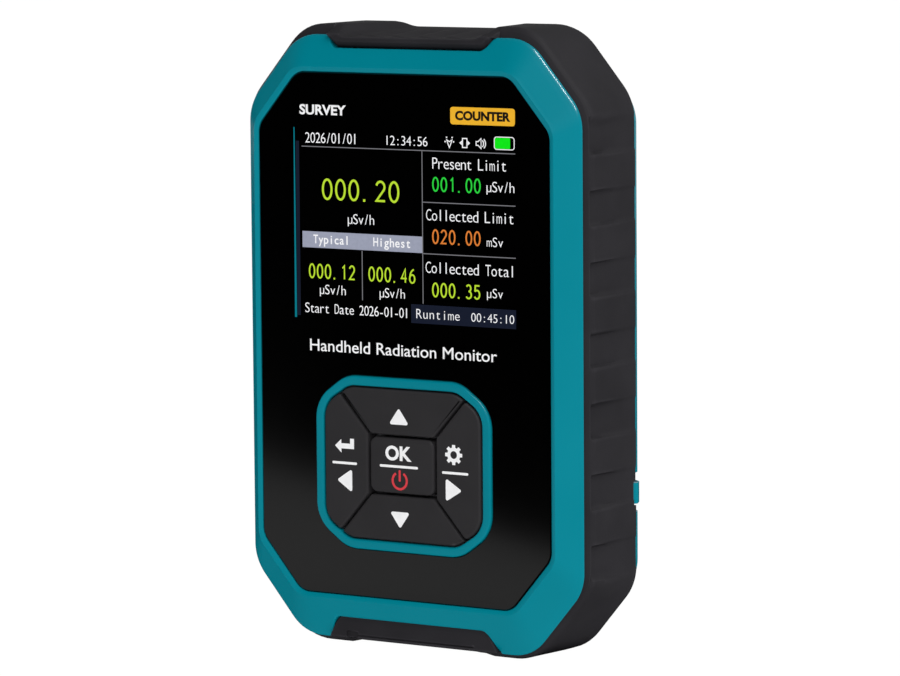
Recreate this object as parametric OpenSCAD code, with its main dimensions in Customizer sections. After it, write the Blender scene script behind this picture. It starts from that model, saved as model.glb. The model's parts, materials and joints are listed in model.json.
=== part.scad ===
// Pocket geiger counter, standing upright on its bottom corners.
// X is the width, +Y points from the front to the back, +Z is up. Millimetres.

/* [Body] */
// Width over the rubber bumper
body_w = 78; // [76:0.5:82]
// Height over the rubber bumper
body_h = 120.4; // [119.4:0.5:122]
// Depth from the key tops to the back face
body_d = 27; // [26.5:0.5:29]
// Depth of the bumper between its front and rear seams
bumper_d = 17.4; // [16:0.1:17.6]
// Width of the chamfer at each corner of the bumper
corner_w = 12; // [11:0.5:13]
// Height of the chamfer at each corner of the bumper
corner_h = 14.2; // [13:0.5:15]
// Thickness of the moulded walls
wall = 1.6; // [1.2:0.1:1.8]

/* [Front panel] */
// Width of the black front panel
panel_w = 66; // [64:0.5:67]
// Height of the black front panel
panel_h = 101; // [99:0.5:102]
// Height of the panel's middle
panel_z = 60.8; // [60:0.1:61.5]
// Thickness of the acrylic panel
panel_t = 1.5; // [1:0.1:1.5]

/* [Grip] */
// Number of raised grip pads on each side
pad_count = 6; // [3:1:7]
// Distance from one grip pad to the next
pad_pitch = 13.4; // [12:0.1:14]
// Height of one grip pad
pad_h = 7.4; // [5:0.1:9]
// Depth of the grip recess at its front end
grip_cut = 0.9; // [0.4:0.1:1.2]

/* [Keypad] */
// Height of the keypad's middle
key_z = 36.4; // [35.5:0.1:37.5]
// Width of the coloured bezel round the keys
bezel_w = 40; // [39:0.5:41]
// Height of the coloured bezel round the keys
bezel_h = 33.6; // [32.5:0.1:34.5]
// Width of the bezel's band
bezel_band = 1.9; // [1.6:0.1:2.1]
// Width of the centre key
ok_w = 14.6; // [13:0.1:16]
// Height of the centre key
ok_h = 10.7; // [9.5:0.1:12]
// Gap between neighbouring keys
key_gap = 0.5; // [0.4:0.05:0.7]
// How far a key travels when it is pressed
key_travel = 0.6; // [0.3:0.05:0.6]

/* [Display] */
// Width of the display's lit area
lit_w = 49.2; // [48:0.1:50]
// Height of the display's lit area
lit_h = 37.2; // [36:0.1:38]
// Height of the lit area's middle
lit_z = 81.5; // [81:0.1:82]

/* [Detector tube] */
// Diameter of the detector tube
tube_dia = 10; // [9:0.5:10.5]
// Length of the detector tube over its caps
tube_len = 88; // [80:1:88]
// Sideways place of the tube
tube_x = -20; // [-21:0.5:-19]

/* [Hidden] */

$fn = 48;
teal = "#00828f";
rubber = "#343235";
gap = 0.1;        // between shells that meet at a seam
steps = 4;        // arc steps in each rounded corner of an outline

// Depths, from the front face backwards.
front_y = -body_d / 2;
back_y = body_d / 2;
bezel_y = front_y + 0.2;
panel_y = front_y + 0.8;
tape_y = panel_y + panel_t;
plate_y = tape_y + 0.2;
plate_t = 1.2;
inner_y = plate_y + plate_t;
seam_y = panel_y + 4.2;
rear_seam_y = seam_y + bumper_d;
split_y = 0;
gasket_t = 0.9;
back_in_y = back_y - wall;
board_y = inner_y + 3.8;
board_t = 1.6;
board_back = board_y + board_t;

case_h = body_h - 0.4;   // the upper corner bumps rise above this
mid_z = case_h / 2;

// Outline data: half width, top, bottom, chamfer width, chamfer height, corner radius.
bumper_front_o = [body_w / 2, body_h, 0, corner_w + 0.9, corner_h + 1, 10];
bumper_rear_o = [body_w / 2, body_h, 0, corner_w, corner_h + 0.1, 11];
seam_o = [body_w / 2 - 1.2, case_h - 1.6, 1, corner_w - 0.4, corner_h - 0.5, 9];
skirt_o = [body_w / 2 - 2.6, case_h - 4.8, 5, corner_w - 2.2, corner_h - 2.6, 7];
cavity_o = [skirt_o[0] - wall, skirt_o[1] - wall, skirt_o[2] + wall, corner_w - 2.6, corner_h - 3.1, 6];
rear_o = [body_w / 2 - 0.8, case_h - 2.2, 2.2, corner_w - 1.4, corner_h - 1.6, 9];
panel_o = [panel_w / 2, panel_z + panel_h / 2, panel_z - panel_h / 2, 8.9, 10.5, 4];
bezel_o = [bezel_w / 2, key_z + bezel_h / 2, key_z - bezel_h / 2, 7.1, 5.1, 7];
well_o = inset(bezel_o, bezel_band, 1.2);
board_o = [32.4, 112, 7.2, 8.6, 10.2, 1];

// An outline moved inwards by d, its chamfers shortened in step.
function inset(o, d, c = 0.55) =
    [o[0] - d, o[1] - d, o[2] + d, o[3] - c * d * 0.6, o[4] - c * d * 0.6, max(0.5, o[5] - d)];

// The eight corners of a chamfered rectangle, anticlockwise seen from the front.
function corners(o) = [
    [-o[0], o[2] + o[4]], [-o[0] + o[3], o[2]], [o[0] - o[3], o[2]], [o[0], o[2] + o[4]],
    [o[0], o[1] - o[4]], [o[0] - o[3], o[1]], [-o[0] + o[3], o[1]], [-o[0], o[1] - o[4]]];

function unit(v) = v / norm(v);

// The arc of radius r that rounds corner b between its neighbours a and c.
function fillet(a, b, c, r) =
    let (u = unit(a - b), v = unit(c - b), half = acos(u * v) / 2)
    let (m = b + unit(u + v) * r / sin(half), p = b + u * r / tan(half), q = b + v * r / tan(half))
    let (s = atan2(p[1] - m[1], p[0] - m[0]), e = atan2(q[1] - m[1], q[0] - m[0]))
    let (turn = e - s > 180 ? e - s - 360 : (e - s < -180 ? e - s + 360 : e - s))
    [for (k = [0:steps]) m + r * [cos(s + turn * k / steps), sin(s + turn * k / steps)]];

function rounded(pts, r) = [for (i = [0:len(pts) - 1])
    each fillet(pts[(i + len(pts) - 1) % len(pts)], pts[i], pts[(i + 1) % len(pts)], r)];

function outline(o) = rounded(corners(o), o[5]);

// A loop of points at depth y, part way (t from 0 to 1) from outline a to outline b.
function ring_at(a, b, t, y) =
    let (p = outline(a), q = outline(b))
    [for (i = [0:len(p) - 1]) [p[i][0] * (1 - t) + q[i][0] * t, y, p[i][1] * (1 - t) + q[i][1] * t]];

// A closed solid through loops that run from the front to the back.
module loft(loops) {
    n = len(loops[0]);
    last = (len(loops) - 1) * n;
    polyhedron(
        points = [for (l = loops) each l],
        faces = concat(
            [[for (i = [n - 1:-1:0]) i]],
            [for (j = [0:len(loops) - 2], i = [0:n - 1])
                [j * n + i, j * n + (i + 1) % n, (j + 1) * n + (i + 1) % n]],
            [for (j = [0:len(loops) - 2], i = [0:n - 1])
                [j * n + i, (j + 1) * n + (i + 1) % n, (j + 1) * n + i]],
            [[for (i = [0:n - 1]) last + i]]));
}

// The 2D children, drawn in X and Z, made solid from depth y0 to depth y1.
module slab(y0, y1) {
    translate([0, y1, 0])
        rotate([90, 0, 0])
            linear_extrude(height = y1 - y0)
                children();
}

// A box from its lowest corner to its highest corner.
module block(a, b) {
    translate(a)
        cube(b - a);
}

// A round bar along Y at x, z.
module pin_y(x, z, r, y0, y1) {
    translate([x, y1, z])
        rotate([90, 0, 0])
            cylinder(r = r, h = y1 - y0);
}

// A round bar along Z at x, y.
module pin_z(x, y, r, z0, z1) {
    translate([x, y, z0])
        cylinder(r = r, h = z1 - z0);
}

// ---- Shells -------------------------------------------------------------

notch_low = 17.1;      // half width of a notch at its floor
notch_high = 20.5;     // half width of a notch at the outside
notch_top = case_h - 4.1;
notch_bottom = 5.6;

// The bumper's tongues fill the notches; valleys run from them to the back.
tongue_y = panel_y + 2.4;
tongue_half = 30;
tongue_top = case_h - 1.5;
tongue_low = 1.2;
valley_run = 5.4;
valley_high = case_h + 1.6;
top_valley = [[-11, 15.6, 2], [9.4, 10.9, 0.57]];
low_valley = [[-11, 15.6, 0.95], [9.4, 10.9, 0.49]];
slot_half = 14;   // the parting slot along the lower tongue
slot_z = 1.7;
slot_h = 0.8;
boss_x = 26;
boss_z = 48.5;         // bosses stand this far above and below the middle
boss_places = [for (sx = [-1, 1], sz = [-1, 1]) [sx * boss_x, mid_z + sz * boss_z]];
post_places = [[-30.2, 92], [-30.2, 28], [30.2, 28], [29.8, 56]];
post_r = 2.2;
board_screw_r = 1;
shell_screw_r = 1.25;
insert_r = 1.9;
insert_len = 4.8;
head_y = 9;
usb_y = board_back + 1.63;
lug_z = 31.2;          // height of the lanyard bar
lug_x = body_w / 2 - 1.8;
lug_y = back_y - 2.9;
lug_r = 1;
speaker_x = 10;
speaker_z = 30;

// The trapezoid notch at the top, grown outwards by g.
module notch_shape(g = 0) {
    polygon([[-notch_low - g, notch_top - g], [notch_low + g, notch_top - g],
        [notch_high + g, body_h + 1], [-notch_high - g, body_h + 1]]);
}

// The same notch at the bottom.
module notch_shape_low(g = 0) {
    polygon([[-notch_low - g, notch_bottom + g], [notch_low + g, notch_bottom + g],
        [notch_high + g, -1], [-notch_high - g, -1]]);
}

module front_frame() {
    rim = inset(panel_o, -1, 0.5);
    color(teal)
        difference() {
            union() {
                difference() {
                    loft([ring_at(rim, seam_o, 0, panel_y), ring_at(rim, seam_o, 0.775, panel_y + 2.8),
                        ring_at(rim, seam_o, 0.9, panel_y + 3.35), ring_at(rim, seam_o, 0.975, panel_y + 3.75),
                        ring_at(rim, seam_o, 1, seam_y)]);
                    slab(panel_y - 1, seam_y + 1)
                        notch_shape();
                    slab(panel_y - 1, seam_y + 1)
                        notch_shape_low();
                }
                slab(plate_y + 0.2, split_y)
                    polygon(outline(skirt_o));
            }
            slab(inner_y, split_y + 1)
                polygon(outline(cavity_o));
            slab(panel_y - 1, plate_y)
                polygon(outline(inset(panel_o, -0.15)));
            slab(plate_y - 1, inner_y + 1)
                polygon(outline(inset(bezel_o, 1)));
            block([-lit_w / 2 - 0.8, plate_y - 1, lit_z - lit_h / 2 - 0.8],
                [lit_w / 2 + 0.8, inner_y + 1, lit_z + lit_h / 2 + 0.8]);
            usb_cut(4.9, 1.8, -1, cavity_o[2] + 1);
        }
    color(teal)
        difference() {
            union() {
                for (p = boss_places)
                    pin_y(p[0], p[1], 2.9, inner_y, split_y + 0.8);
                for (p = post_places)
                    pin_y(p[0], p[1], post_r, inner_y, board_y);
            }
            for (p = boss_places)
                pin_y(p[0], p[1], insert_r, split_y + 0.8 - insert_len, split_y + 1);
            for (p = post_places)
                pin_y(p[0], p[1], board_screw_r, board_y - 3, board_y + 1);
        }
}

// The obround clearance round the charging socket, half sizes w and t.
module usb_cut(w, t, z0, z1) {
    translate([-w + t, usb_y, z0])
        cylinder(r = t, h = z1 - z0);
    translate([w - t, usb_y, z0])
        cylinder(r = t, h = z1 - z0);
    translate([-w + t, usb_y - t, z0])
        cube([2 * (w - t), 2 * t, z1 - z0]);
}

// The valley between the two upper corner bumps. Each end is [y, half width, depth below the case's top].
module valley(front, rear) {
    polyhedron(
        points = [[-front[1], front[0], case_h - front[2]], [front[1], front[0], case_h - front[2]],
            [front[1] + valley_run, front[0], valley_high], [-front[1] - valley_run, front[0], valley_high],
            [-rear[1], rear[0], case_h - rear[2]], [rear[1], rear[0], case_h - rear[2]],
            [rear[1] + valley_run, rear[0], valley_high], [-rear[1] - valley_run, rear[0], valley_high]],
        faces = [[0, 2, 1], [0, 3, 2], [4, 5, 6], [4, 6, 7], [0, 1, 5], [0, 5, 4],
            [1, 2, 6], [1, 6, 5], [2, 3, 7], [2, 7, 6], [3, 0, 4], [3, 4, 7]]);
}

// One side's grip recess between two heights, shallower towards the back.
module grip_recess(z0, z1) {
    translate([0, 0, z0])
        linear_extrude(height = z1 - z0)
            polygon([[body_w / 2 + 1, seam_y + 1.4], [body_w / 2 - grip_cut, seam_y + 1.9],
                [body_w / 2 - 0.15, rear_seam_y + 1], [body_w / 2 + 1, rear_seam_y + 1]]);
}

module bumper() {
    lip = inset(seam_o, 0.5);
    rear_lip = inset(bumper_rear_o, 0.15);
    span = pad_pitch - pad_h;
    color(rubber)
        difference() {
            union() {
                loft([ring_at(lip, bumper_front_o, 0, seam_y + gap),
                    ring_at(lip, bumper_front_o, 0.7, seam_y + 1.1),
                    ring_at(lip, bumper_front_o, 1, seam_y + 2),
                    ring_at(bumper_rear_o, rear_lip, 0, rear_seam_y - 0.6),
                    ring_at(bumper_rear_o, rear_lip, 1, rear_seam_y)]);
                intersection() {
                    slab(tongue_y, seam_y + 2)
                        notch_shape(-gap);
                    block([-tongue_half, tongue_y, notch_top], [tongue_half, seam_y + 2, tongue_top]);
                }
                intersection() {
                    slab(tongue_y, seam_y + 2)
                        notch_shape_low(-gap);
                    block([-tongue_half, tongue_y, tongue_low], [tongue_half, seam_y + 2, notch_bottom]);
                }
            }
            slab(seam_y - 3, rear_seam_y + 1)
                polygon(outline(inset(skirt_o, -0.05)));
            valley(top_valley[0], top_valley[1]);
            translate([0, 0, case_h])
                mirror([0, 0, 1])
                    valley(low_valley[0], low_valley[1]);
            for (k = [0:pad_count], s = [0, 1])
                mirror([s, 0, 0])
                    grip_recess(mid_z + (k - pad_count / 2) * pad_pitch - span / 2,
                        mid_z + (k - pad_count / 2) * pad_pitch + span / 2);
            block([-slot_half, tongue_y - 1, slot_z], [slot_half, tongue_y + 0.6, slot_z + slot_h]);
            usb_cut(6.3, 3.4, -1, 6);
            block([body_w / 2 - 1.2, rear_seam_y - 1, lug_z - 2.3], [body_w, rear_seam_y + 1, lug_z + 2.3]);
        }
}

module rear_shell() {
    flat = inset(rear_o, 4);
    color(teal)
        difference() {
            union() {
                difference() {
                    loft([ring_at(rear_o, flat, 0, rear_seam_y + gap), ring_at(rear_o, flat, 0, back_y - 4.2),
                        ring_at(rear_o, flat, 0.08, back_y - 2.7), ring_at(rear_o, flat, 0.3, back_y - 1.3),
                        ring_at(rear_o, flat, 0.62, back_y - 0.4), ring_at(rear_o, flat, 1, back_y)]);
                    block([35.8, rear_seam_y, lug_z - 3.8], [40, back_y + 1, lug_z + 3.8]);
                }
                translate([0, 0, lug_z - 2])
                    linear_extrude(height = 4)
                        polygon([[35.5, rear_seam_y - 0.6], [body_w / 2 - 0.4, rear_seam_y - 0.6],
                            [body_w / 2, rear_seam_y - 0.2], [body_w / 2, back_y - 4.2],
                            [body_w / 2 - 0.9, back_y - 2.2], [body_w / 2 - 2.4, back_y - 1], [35.5, back_y - 1]]);
                slab(split_y + gasket_t, rear_seam_y + 0.5)
                    polygon(outline(skirt_o));
            }
            slab(split_y, back_in_y)
                polygon(outline(cavity_o));
            pin_z(lug_x, lug_y, lug_r, lug_z - 3, lug_z + 3);
            for (p = boss_places)
                pin_y(p[0], p[1], 2.5, head_y, back_y + 1);
            for (k = [-2:2])
                block([speaker_x - 7, back_in_y - 1, speaker_z + k * 3 - 0.6],
                    [speaker_x + 7, back_y + 1, speaker_z + k * 3 + 0.6]);
            slab(back_y - 0.5, back_y + 1)
                polygon(rounded([[tube_x - 4, 26], [tube_x + 4, 26], [tube_x + 4, 94], [tube_x - 4, 94]], 2));
            slab(back_y - 0.3, back_y + 1)
                polygon(rounded([[-8, 50], [24, 50], [24, 94], [-8, 94]], 2));
        }
    color(teal)
        difference() {
            for (p = boss_places)
                pin_y(p[0], p[1], 3.3, split_y + 1, back_in_y);
            for (p = boss_places)
                pin_y(p[0], p[1], shell_screw_r + 0.15, split_y, back_y);
            for (p = boss_places)
                pin_y(p[0], p[1], 2.5, head_y, back_y + 1);
        }
}

// The sealing cord between the two shells' edges.
module shell_gasket() {
    color("#202020")
        slab(split_y, split_y + gasket_t)
            difference() {
                polygon(outline(inset(skirt_o, 0.3)));
                polygon(outline(inset(skirt_o, 1.2)));
            }
}

module shell_inserts() {
    color("#b8924a")
        for (p = boss_places)
            difference() {
                pin_y(p[0], p[1], insert_r, split_y + 0.8 - insert_len, split_y + 0.8);
                pin_y(p[0], p[1], shell_screw_r, split_y - insert_len, split_y + 1);
            }
}

module shell_screws() {
    color("#3a3a3c")
        for (p = boss_places)
            difference() {
                union() {
                    pin_y(p[0], p[1], shell_screw_r, head_y - 12, head_y);
                    pin_y(p[0], p[1], 2.25, head_y, head_y + 1.7);
                }
                translate([p[0], head_y + 2, p[1]])
                    rotate([90, 0, 0])
                        cylinder(r = 1.15, h = 1.4, $fn = 6);
            }
}

// ---- Front panel and keys -------------------------------------------------

module lens_panel() {
    color("#050506")
        slab(panel_y, tape_y)
            difference() {
                polygon(outline(panel_o));
                polygon(outline(inset(bezel_o, -0.1)));
            }
}

module lens_tape() {
    color("#d8d4c4")
        slab(tape_y, plate_y)
            difference() {
                polygon(outline(inset(panel_o, 0.5)));
                polygon(outline(inset(bezel_o, -0.5)));
                translate([-lit_w / 2 - 1.2, lit_z - lit_h / 2 - 1.2])
                    square([lit_w + 2.4, lit_h + 2.4]);
            }
}

module keypad_bezel() {
    lip_y = bezel_y + 1.4;
    color(teal) {
        slab(bezel_y, lip_y)
            difference() {
                polygon(outline(bezel_o));
                polygon(outline(well_o));
            }
        slab(lip_y, plate_y)
            difference() {
                polygon(outline(bezel_o));
                polygon(outline(inset(bezel_o, 1)));
            }
    }
}

key_base_y = front_y + 2.8;      // back face of the key flanges
flange_y = front_y + 1.75;
stem_end_y = board_y - 2.7;
plunger_l = 1.2;
side_reach = 12.9;               // from the keypad's middle to the side keys' stems
rise_reach = 10.3;               // from the keypad's middle to the upper and lower stems
slant = 0.884;                   // sideways run of a diagonal groove for each unit of its rise
ok_clear_w = ok_w / 2 + key_gap;
ok_clear_h = ok_h / 2 + key_gap;
slant_drop = key_gap * norm([1, slant]) / slant;

// The wedge that holds the upper key.
module wedge_up() {
    polygon([[-ok_clear_w + 0.5, key_z + ok_clear_h + 0.2],
        [-ok_clear_w + 0.5 + 0.4, key_z + ok_clear_h],
        [ok_clear_w - 0.5 - 0.4, key_z + ok_clear_h],
        [ok_clear_w - 0.5, key_z + ok_clear_h + 0.2],
        [ok_clear_w - 0.5 + slant * 14, key_z + ok_clear_h + 14.2],
        [-ok_clear_w + 0.5 - slant * 14, key_z + ok_clear_h + 14.2]]);
}

// The wedge that holds the right-hand key.
module wedge_right() {
    top = ok_clear_h - slant_drop + 0.5 / slant + 0.2;
    polygon([[ok_clear_w, key_z - top], [ok_clear_w, key_z + top],
        [ok_clear_w + slant * 14, key_z + top + 14], [ok_clear_w + slant * 14, key_z - top - 14]]);
}

// A key's cap and flange inside one wedge, with its stem at x, z.
module wedge_key(x, z) {
    color("#2c2b2e") {
        slab(front_y, flange_y)
            intersection() {
                polygon(outline(inset(well_o, 0.3)));
                children();
            }
        slab(flange_y, key_base_y)
            intersection() {
                polygon(outline(inset(bezel_o, 1.3)));
                children();
            }
        pin_y(x, z, 1.5, key_base_y, stem_end_y);
    }
}

module key_up() {
    wedge_key(0, key_z + rise_reach)
        wedge_up();
}

module key_down() {
    wedge_key(0, key_z - rise_reach)
        translate([0, 2 * key_z])
            mirror([0, 1])
                wedge_up();
}

module key_left() {
    wedge_key(-side_reach, key_z)
        mirror([1, 0])
            wedge_right();
}

module key_right() {
    wedge_key(side_reach, key_z)
        wedge_right();
}

module key_ok() {
    color("#2c2b2e") {
        slab(front_y, key_base_y)
            polygon(rounded([[-ok_w / 2, key_z - ok_h / 2], [ok_w / 2, key_z - ok_h / 2],
                [ok_w / 2, key_z + ok_h / 2], [-ok_w / 2, key_z + ok_h / 2]], 1.6));
        pin_y(0, key_z, 1.5, key_base_y, stem_end_y);
    }
}

// One switch's moving plunger at x, z.
module plunger(x, z) {
    color("#c9c3b2")
        pin_y(x, z, 1.7, stem_end_y, stem_end_y + plunger_l);
}

module plunger_up() {
    plunger(0, key_z + rise_reach);
}

module plunger_down() {
    plunger(0, key_z - rise_reach);
}

module plunger_left() {
    plunger(-side_reach, key_z);
}

module plunger_right() {
    plunger(side_reach, key_z);
}

module plunger_ok() {
    plunger(0, key_z);
}

// One switch's fixed body on the board at x, z.
module switch_body(x, z) {
    color("#4a4c50")
        difference() {
            block([x - 3, board_y - 2.1, z - 3], [x + 3, board_y, z + 3]);
            pin_y(x, z, 1.85, board_y - 3, stem_end_y + plunger_l + key_travel + 0.05);
        }
}

module switch_up() {
    switch_body(0, key_z + rise_reach);
}

module switch_down() {
    switch_body(0, key_z - rise_reach);
}

module switch_left() {
    switch_body(-side_reach, key_z);
}

module switch_right() {
    switch_body(side_reach, key_z);
}

module switch_ok() {
    switch_body(0, key_z);
}

stem_places = [[0, key_z + rise_reach], [0, key_z - rise_reach], [-side_reach, key_z],
    [side_reach, key_z], [0, key_z]];

// The silicone sheet behind the keys, with a hole for each stem.
module keypad_mat() {
    color("#56565a")
        difference() {
            slab(inner_y, inner_y + 0.6)
                polygon(outline(inset(bezel_o, -0.6)));
            for (p = stem_places)
                pin_y(p[0], p[1], 1.85, inner_y - 1, inner_y + 2);
        }
}

// ---- Display ----------------------------------------------------------------

lcd_left = -27.4;
lcd_right = 32.9;
lcd_half_h = 21.35;
lcd_glass_y = inner_y + 0.3;
lcd_back_y = lcd_glass_y + 1.2;
lcd_frame_y = lcd_back_y + 1.2;

module lcd_glass() {
    color("#1b2126")
        block([lcd_left, lcd_glass_y, lit_z - lcd_half_h], [lcd_right, lcd_back_y, lit_z + lcd_half_h]);
}

module lcd_gasket() {
    color("#1e1e1e")
        difference() {
            block([lcd_left, inner_y, lit_z - lit_h / 2 - 2.4], [-lcd_left, lcd_glass_y, lit_z + lit_h / 2 + 2]);
            block([-lit_w / 2 - 1, inner_y - 1, lit_z - lit_h / 2 - 1],
                [lit_w / 2 + 1, lcd_glass_y + 1, lit_z + lit_h / 2 + 1]);
        }
}

module lcd_backlight() {
    color("#e6e6e2")
        block([lcd_left, lcd_back_y, lit_z - lcd_half_h], [28, lcd_frame_y, lit_z + lcd_half_h]);
}

module lcd_pad() {
    color("#7d7f84")
        for (z = [lit_z - 15, lit_z + 11])
            block([lcd_left + 3, lcd_frame_y, z], [24, board_y, z + 4]);
}

// The flexible ribbon from the display's ledge round the board's edge to its connector.
module lcd_ribbon() {
    t = 0.2;
    bend = 33.9;
    color("#c47f2c")
        translate([0, 0, lit_z - 10])
            linear_extrude(height = 20)
                polygon([[29.2, lcd_back_y], [bend, lcd_back_y], [bend + t, lcd_back_y + t],
                    [bend + t, board_back + t], [bend, board_back + 2 * t], [29.4, board_back + 2 * t],
                    [29.4, board_back + t], [bend - t, board_back + t], [bend, board_back],
                    [bend, lcd_back_y + 2 * t], [bend - t, lcd_back_y + t], [29.2, lcd_back_y + t]]);
}

module ribbon_connector() {
    color("#e8e2d0")
        block([24.4, board_back, lit_z - 11], [29.4, board_back + 1.4, lit_z + 11]);
}

// ---- Board --------------------------------------------------------------------

module main_board() {
    color("#1f5f3a")
        difference() {
            slab(board_y, board_back)
                polygon(outline(board_o));
            for (p = boss_places)
                pin_y(p[0], p[1], 3.3, board_y - 1, board_back + 1);
            for (p = post_places)
                pin_y(p[0], p[1], board_screw_r + 0.15, board_y - 1, board_back + 1);
        }
}

module board_screws() {
    color("#b9bbbe")
        for (p = post_places)
            difference() {
                union() {
                    pin_y(p[0], p[1], board_screw_r, board_y - 2.6, board_back);
                    pin_y(p[0], p[1], 1.8, board_back, board_back + 1.2);
                }
                translate([p[0], board_back + 1.3, p[1]])
                    rotate([90, 0, 0])
                        cylinder(r = 0.9, h = 0.8, $fn = 6);
            }
}

module processor_chip() {
    color("#1c1c1e")
        block([2, board_back, 62], [12, board_back + 1.4, 72]);
}

module power_chips() {
    color("#202024") {
        block([-8, board_back, 20], [-3, board_back + 1, 24]);
        block([-2, board_back, 42], [3, board_back + 1, 46]);
        block([14, board_back, 84], [18, board_back + 1, 89]);
    }
}

module hv_transformer() {
    color("#4b3a2a")
        difference() {
            block([-6, board_back, 86], [4, board_back + 7, 96]);
            block([-7, board_back + 2, 84], [-4.5, board_back + 5, 98]);
            block([2.5, board_back + 2, 84], [5, board_back + 5, 98]);
        }
}

module hv_capacitors() {
    color("#2f6db5")
        for (k = [0:2])
            translate([-10 + k * 8, board_back + 3.2, 78])
                rotate([0, 90, 0])
                    cylinder(r = 3.2, h = 2.6);
}

module usb_shell() {
    color("#b4b6ba")
        difference() {
            usb_cut(4.47, 1.63, 3, 10.4);
            usb_cut(4.15, 1.31, 2, 9.6);
        }
}

module usb_tongue() {
    color("#1b1b1d")
        block([-3.3, usb_y - 0.35, 3.8], [3.3, usb_y + 0.35, 9.6]);
}

// ---- Detector tube --------------------------------------------------------------

tube_y = 4.6;
tube_r = tube_dia / 2;
tube_low = mid_z - tube_len / 2;
tube_high = mid_z + tube_len / 2;
cap_r = tube_r + 0.25;
cap_len = 5;

module tube_glass() {
    color("#b7a98c")
        difference() {
            pin_z(tube_x, tube_y, tube_r, tube_low + 1.5, tube_high - 1.5);
            pin_z(tube_x, tube_y, tube_r - 0.6, tube_low, tube_high);
        }
}

module tube_cathode() {
    color("#8d8f93")
        difference() {
            pin_z(tube_x, tube_y, tube_r - 0.65, tube_low + 8, tube_high - 8);
            pin_z(tube_x, tube_y, tube_r - 0.95, tube_low, tube_high);
        }
}

module tube_anode() {
    color("#d0d2d6")
        pin_z(tube_x, tube_y, 0.3, tube_low + 1.5, tube_high - 1.5);
}

module tube_caps() {
    color("#c2c4c8") {
        difference() {
            pin_z(tube_x, tube_y, cap_r, tube_low, tube_low + cap_len);
            pin_z(tube_x, tube_y, tube_r, tube_low + 1.5, tube_high);
        }
        difference() {
            pin_z(tube_x, tube_y, cap_r, tube_high - cap_len, tube_high);
            pin_z(tube_x, tube_y, tube_r, tube_low, tube_high - 1.5);
        }
    }
}

// The two sprung clips that hold the tube's caps on the board.
module tube_clips() {
    color("#b7a66a")
        for (z = [tube_low + 1, tube_high - 4])
            difference() {
                union() {
                    pin_z(tube_x, tube_y, cap_r + 0.5, z, z + 3);
                    block([tube_x - 2, board_back, z], [tube_x + 2, tube_y - tube_r, z + 3]);
                }
                pin_z(tube_x, tube_y, cap_r, z - 1, z + 4);
                block([tube_x - 3.5, tube_y, z - 1], [tube_x + 3.5, tube_y + 10, z + 4]);
            }
}

module tube_cushions() {
    color("#6f7276")
        difference() {
            for (z = [tube_low + 14, tube_high - 24])
                block([tube_x - 4, tube_y + 2, z], [tube_x + 4, back_in_y, z + 10]);
            pin_z(tube_x, tube_y, tube_r + 0.02, tube_low, tube_high);
        }
}

// ---- Power ------------------------------------------------------------------------

cell_x0 = -8.5;
cell_x1 = 25.5;
cell_z0 = 50;
cell_z1 = 100;
cell_t = 6;
cell_back = back_in_y - 0.5;
lead_z = 105;
lead_r = 0.65;
lead_bend = 2.2;
lead_y = cell_back - cell_t / 2;
lead_x = [7.2, 9.6];
plug_top_y = board_back + 5.4;

module battery_cell() {
    color("#c7c9cb")
        slab(cell_back - cell_t, cell_back)
            polygon(rounded([[cell_x0, cell_z0], [cell_x1, cell_z0], [cell_x1, cell_z1], [cell_x0, cell_z1]], 1.5));
}

module battery_tape() {
    color("#e9e4cf")
        block([cell_x0 + 3, cell_back, cell_z0 + 5], [cell_x1 - 3, back_in_y, cell_z1 - 5]);
}

module battery_leads() {
    color("#a02020")
        for (x = lead_x) {
            pin_z(x, lead_y, lead_r, cell_z1, lead_z - lead_bend);
            translate([x, lead_y - lead_bend, lead_z - lead_bend])
                rotate([90, 0, 90])
                    rotate_extrude(angle = 90)
                        translate([lead_bend, 0])
                            circle(r = lead_r);
            pin_y(x, lead_z, lead_r, plug_top_y, lead_y - lead_bend);
        }
}

module battery_plug() {
    color("#f0efe8")
        block([5.6, board_back + 1, lead_z - 1.5], [11.2, plug_top_y, lead_z + 1.5]);
}

module battery_socket() {
    color("#e2e0d6")
        difference() {
            block([4.6, board_back, lead_z - 2.5], [12.2, board_back + 3.8, lead_z + 2.5]);
            block([5.6, board_back + 1, lead_z - 1.5], [11.2, board_back + 5, lead_z + 1.5]);
        }
}

// ---- Sound and vibration -----------------------------------------------------------

speaker_back = back_in_y - 0.5;

module speaker() {
    color("#2a2a2c") {
        pin_y(speaker_x, speaker_z, 10, speaker_back - 2.4, speaker_back);
        pin_y(speaker_x, speaker_z, 6.5, speaker_back - 4.4, speaker_back - 2.4);
    }
}

module speaker_gasket() {
    color("#151515")
        difference() {
            pin_y(speaker_x, speaker_z, 10, speaker_back, back_in_y);
            pin_y(speaker_x, speaker_z, 8.6, speaker_back - 1, back_in_y + 1);
        }
}

motor_x = 26.4;
motor_y = 0.4;
motor_r = 3;
motor_z0 = 34;
motor_z1 = 46;
shaft_r = 0.5;

module motor_can() {
    color("#aeb0b4")
        difference() {
            pin_z(motor_x, motor_y, motor_r, motor_z0, motor_z1);
            pin_z(motor_x, motor_y, shaft_r + 0.06, motor_z0 + 1.5, motor_z1 + 1);
        }
}

module motor_cradle() {
    color("#3a3a3c")
        difference() {
            block([motor_x - 4.3, board_back, motor_z0 + 1], [motor_x + 4.3, motor_y + 1.8, motor_z1 - 2]);
            pin_z(motor_x, motor_y, motor_r, motor_z0 - 1, motor_z1 + 1);
        }
}

module motor_shaft() {
    color("#d6d8dc")
        pin_z(motor_x, motor_y, shaft_r, motor_z0 + 2, motor_z1 + 5.5);
}

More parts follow.
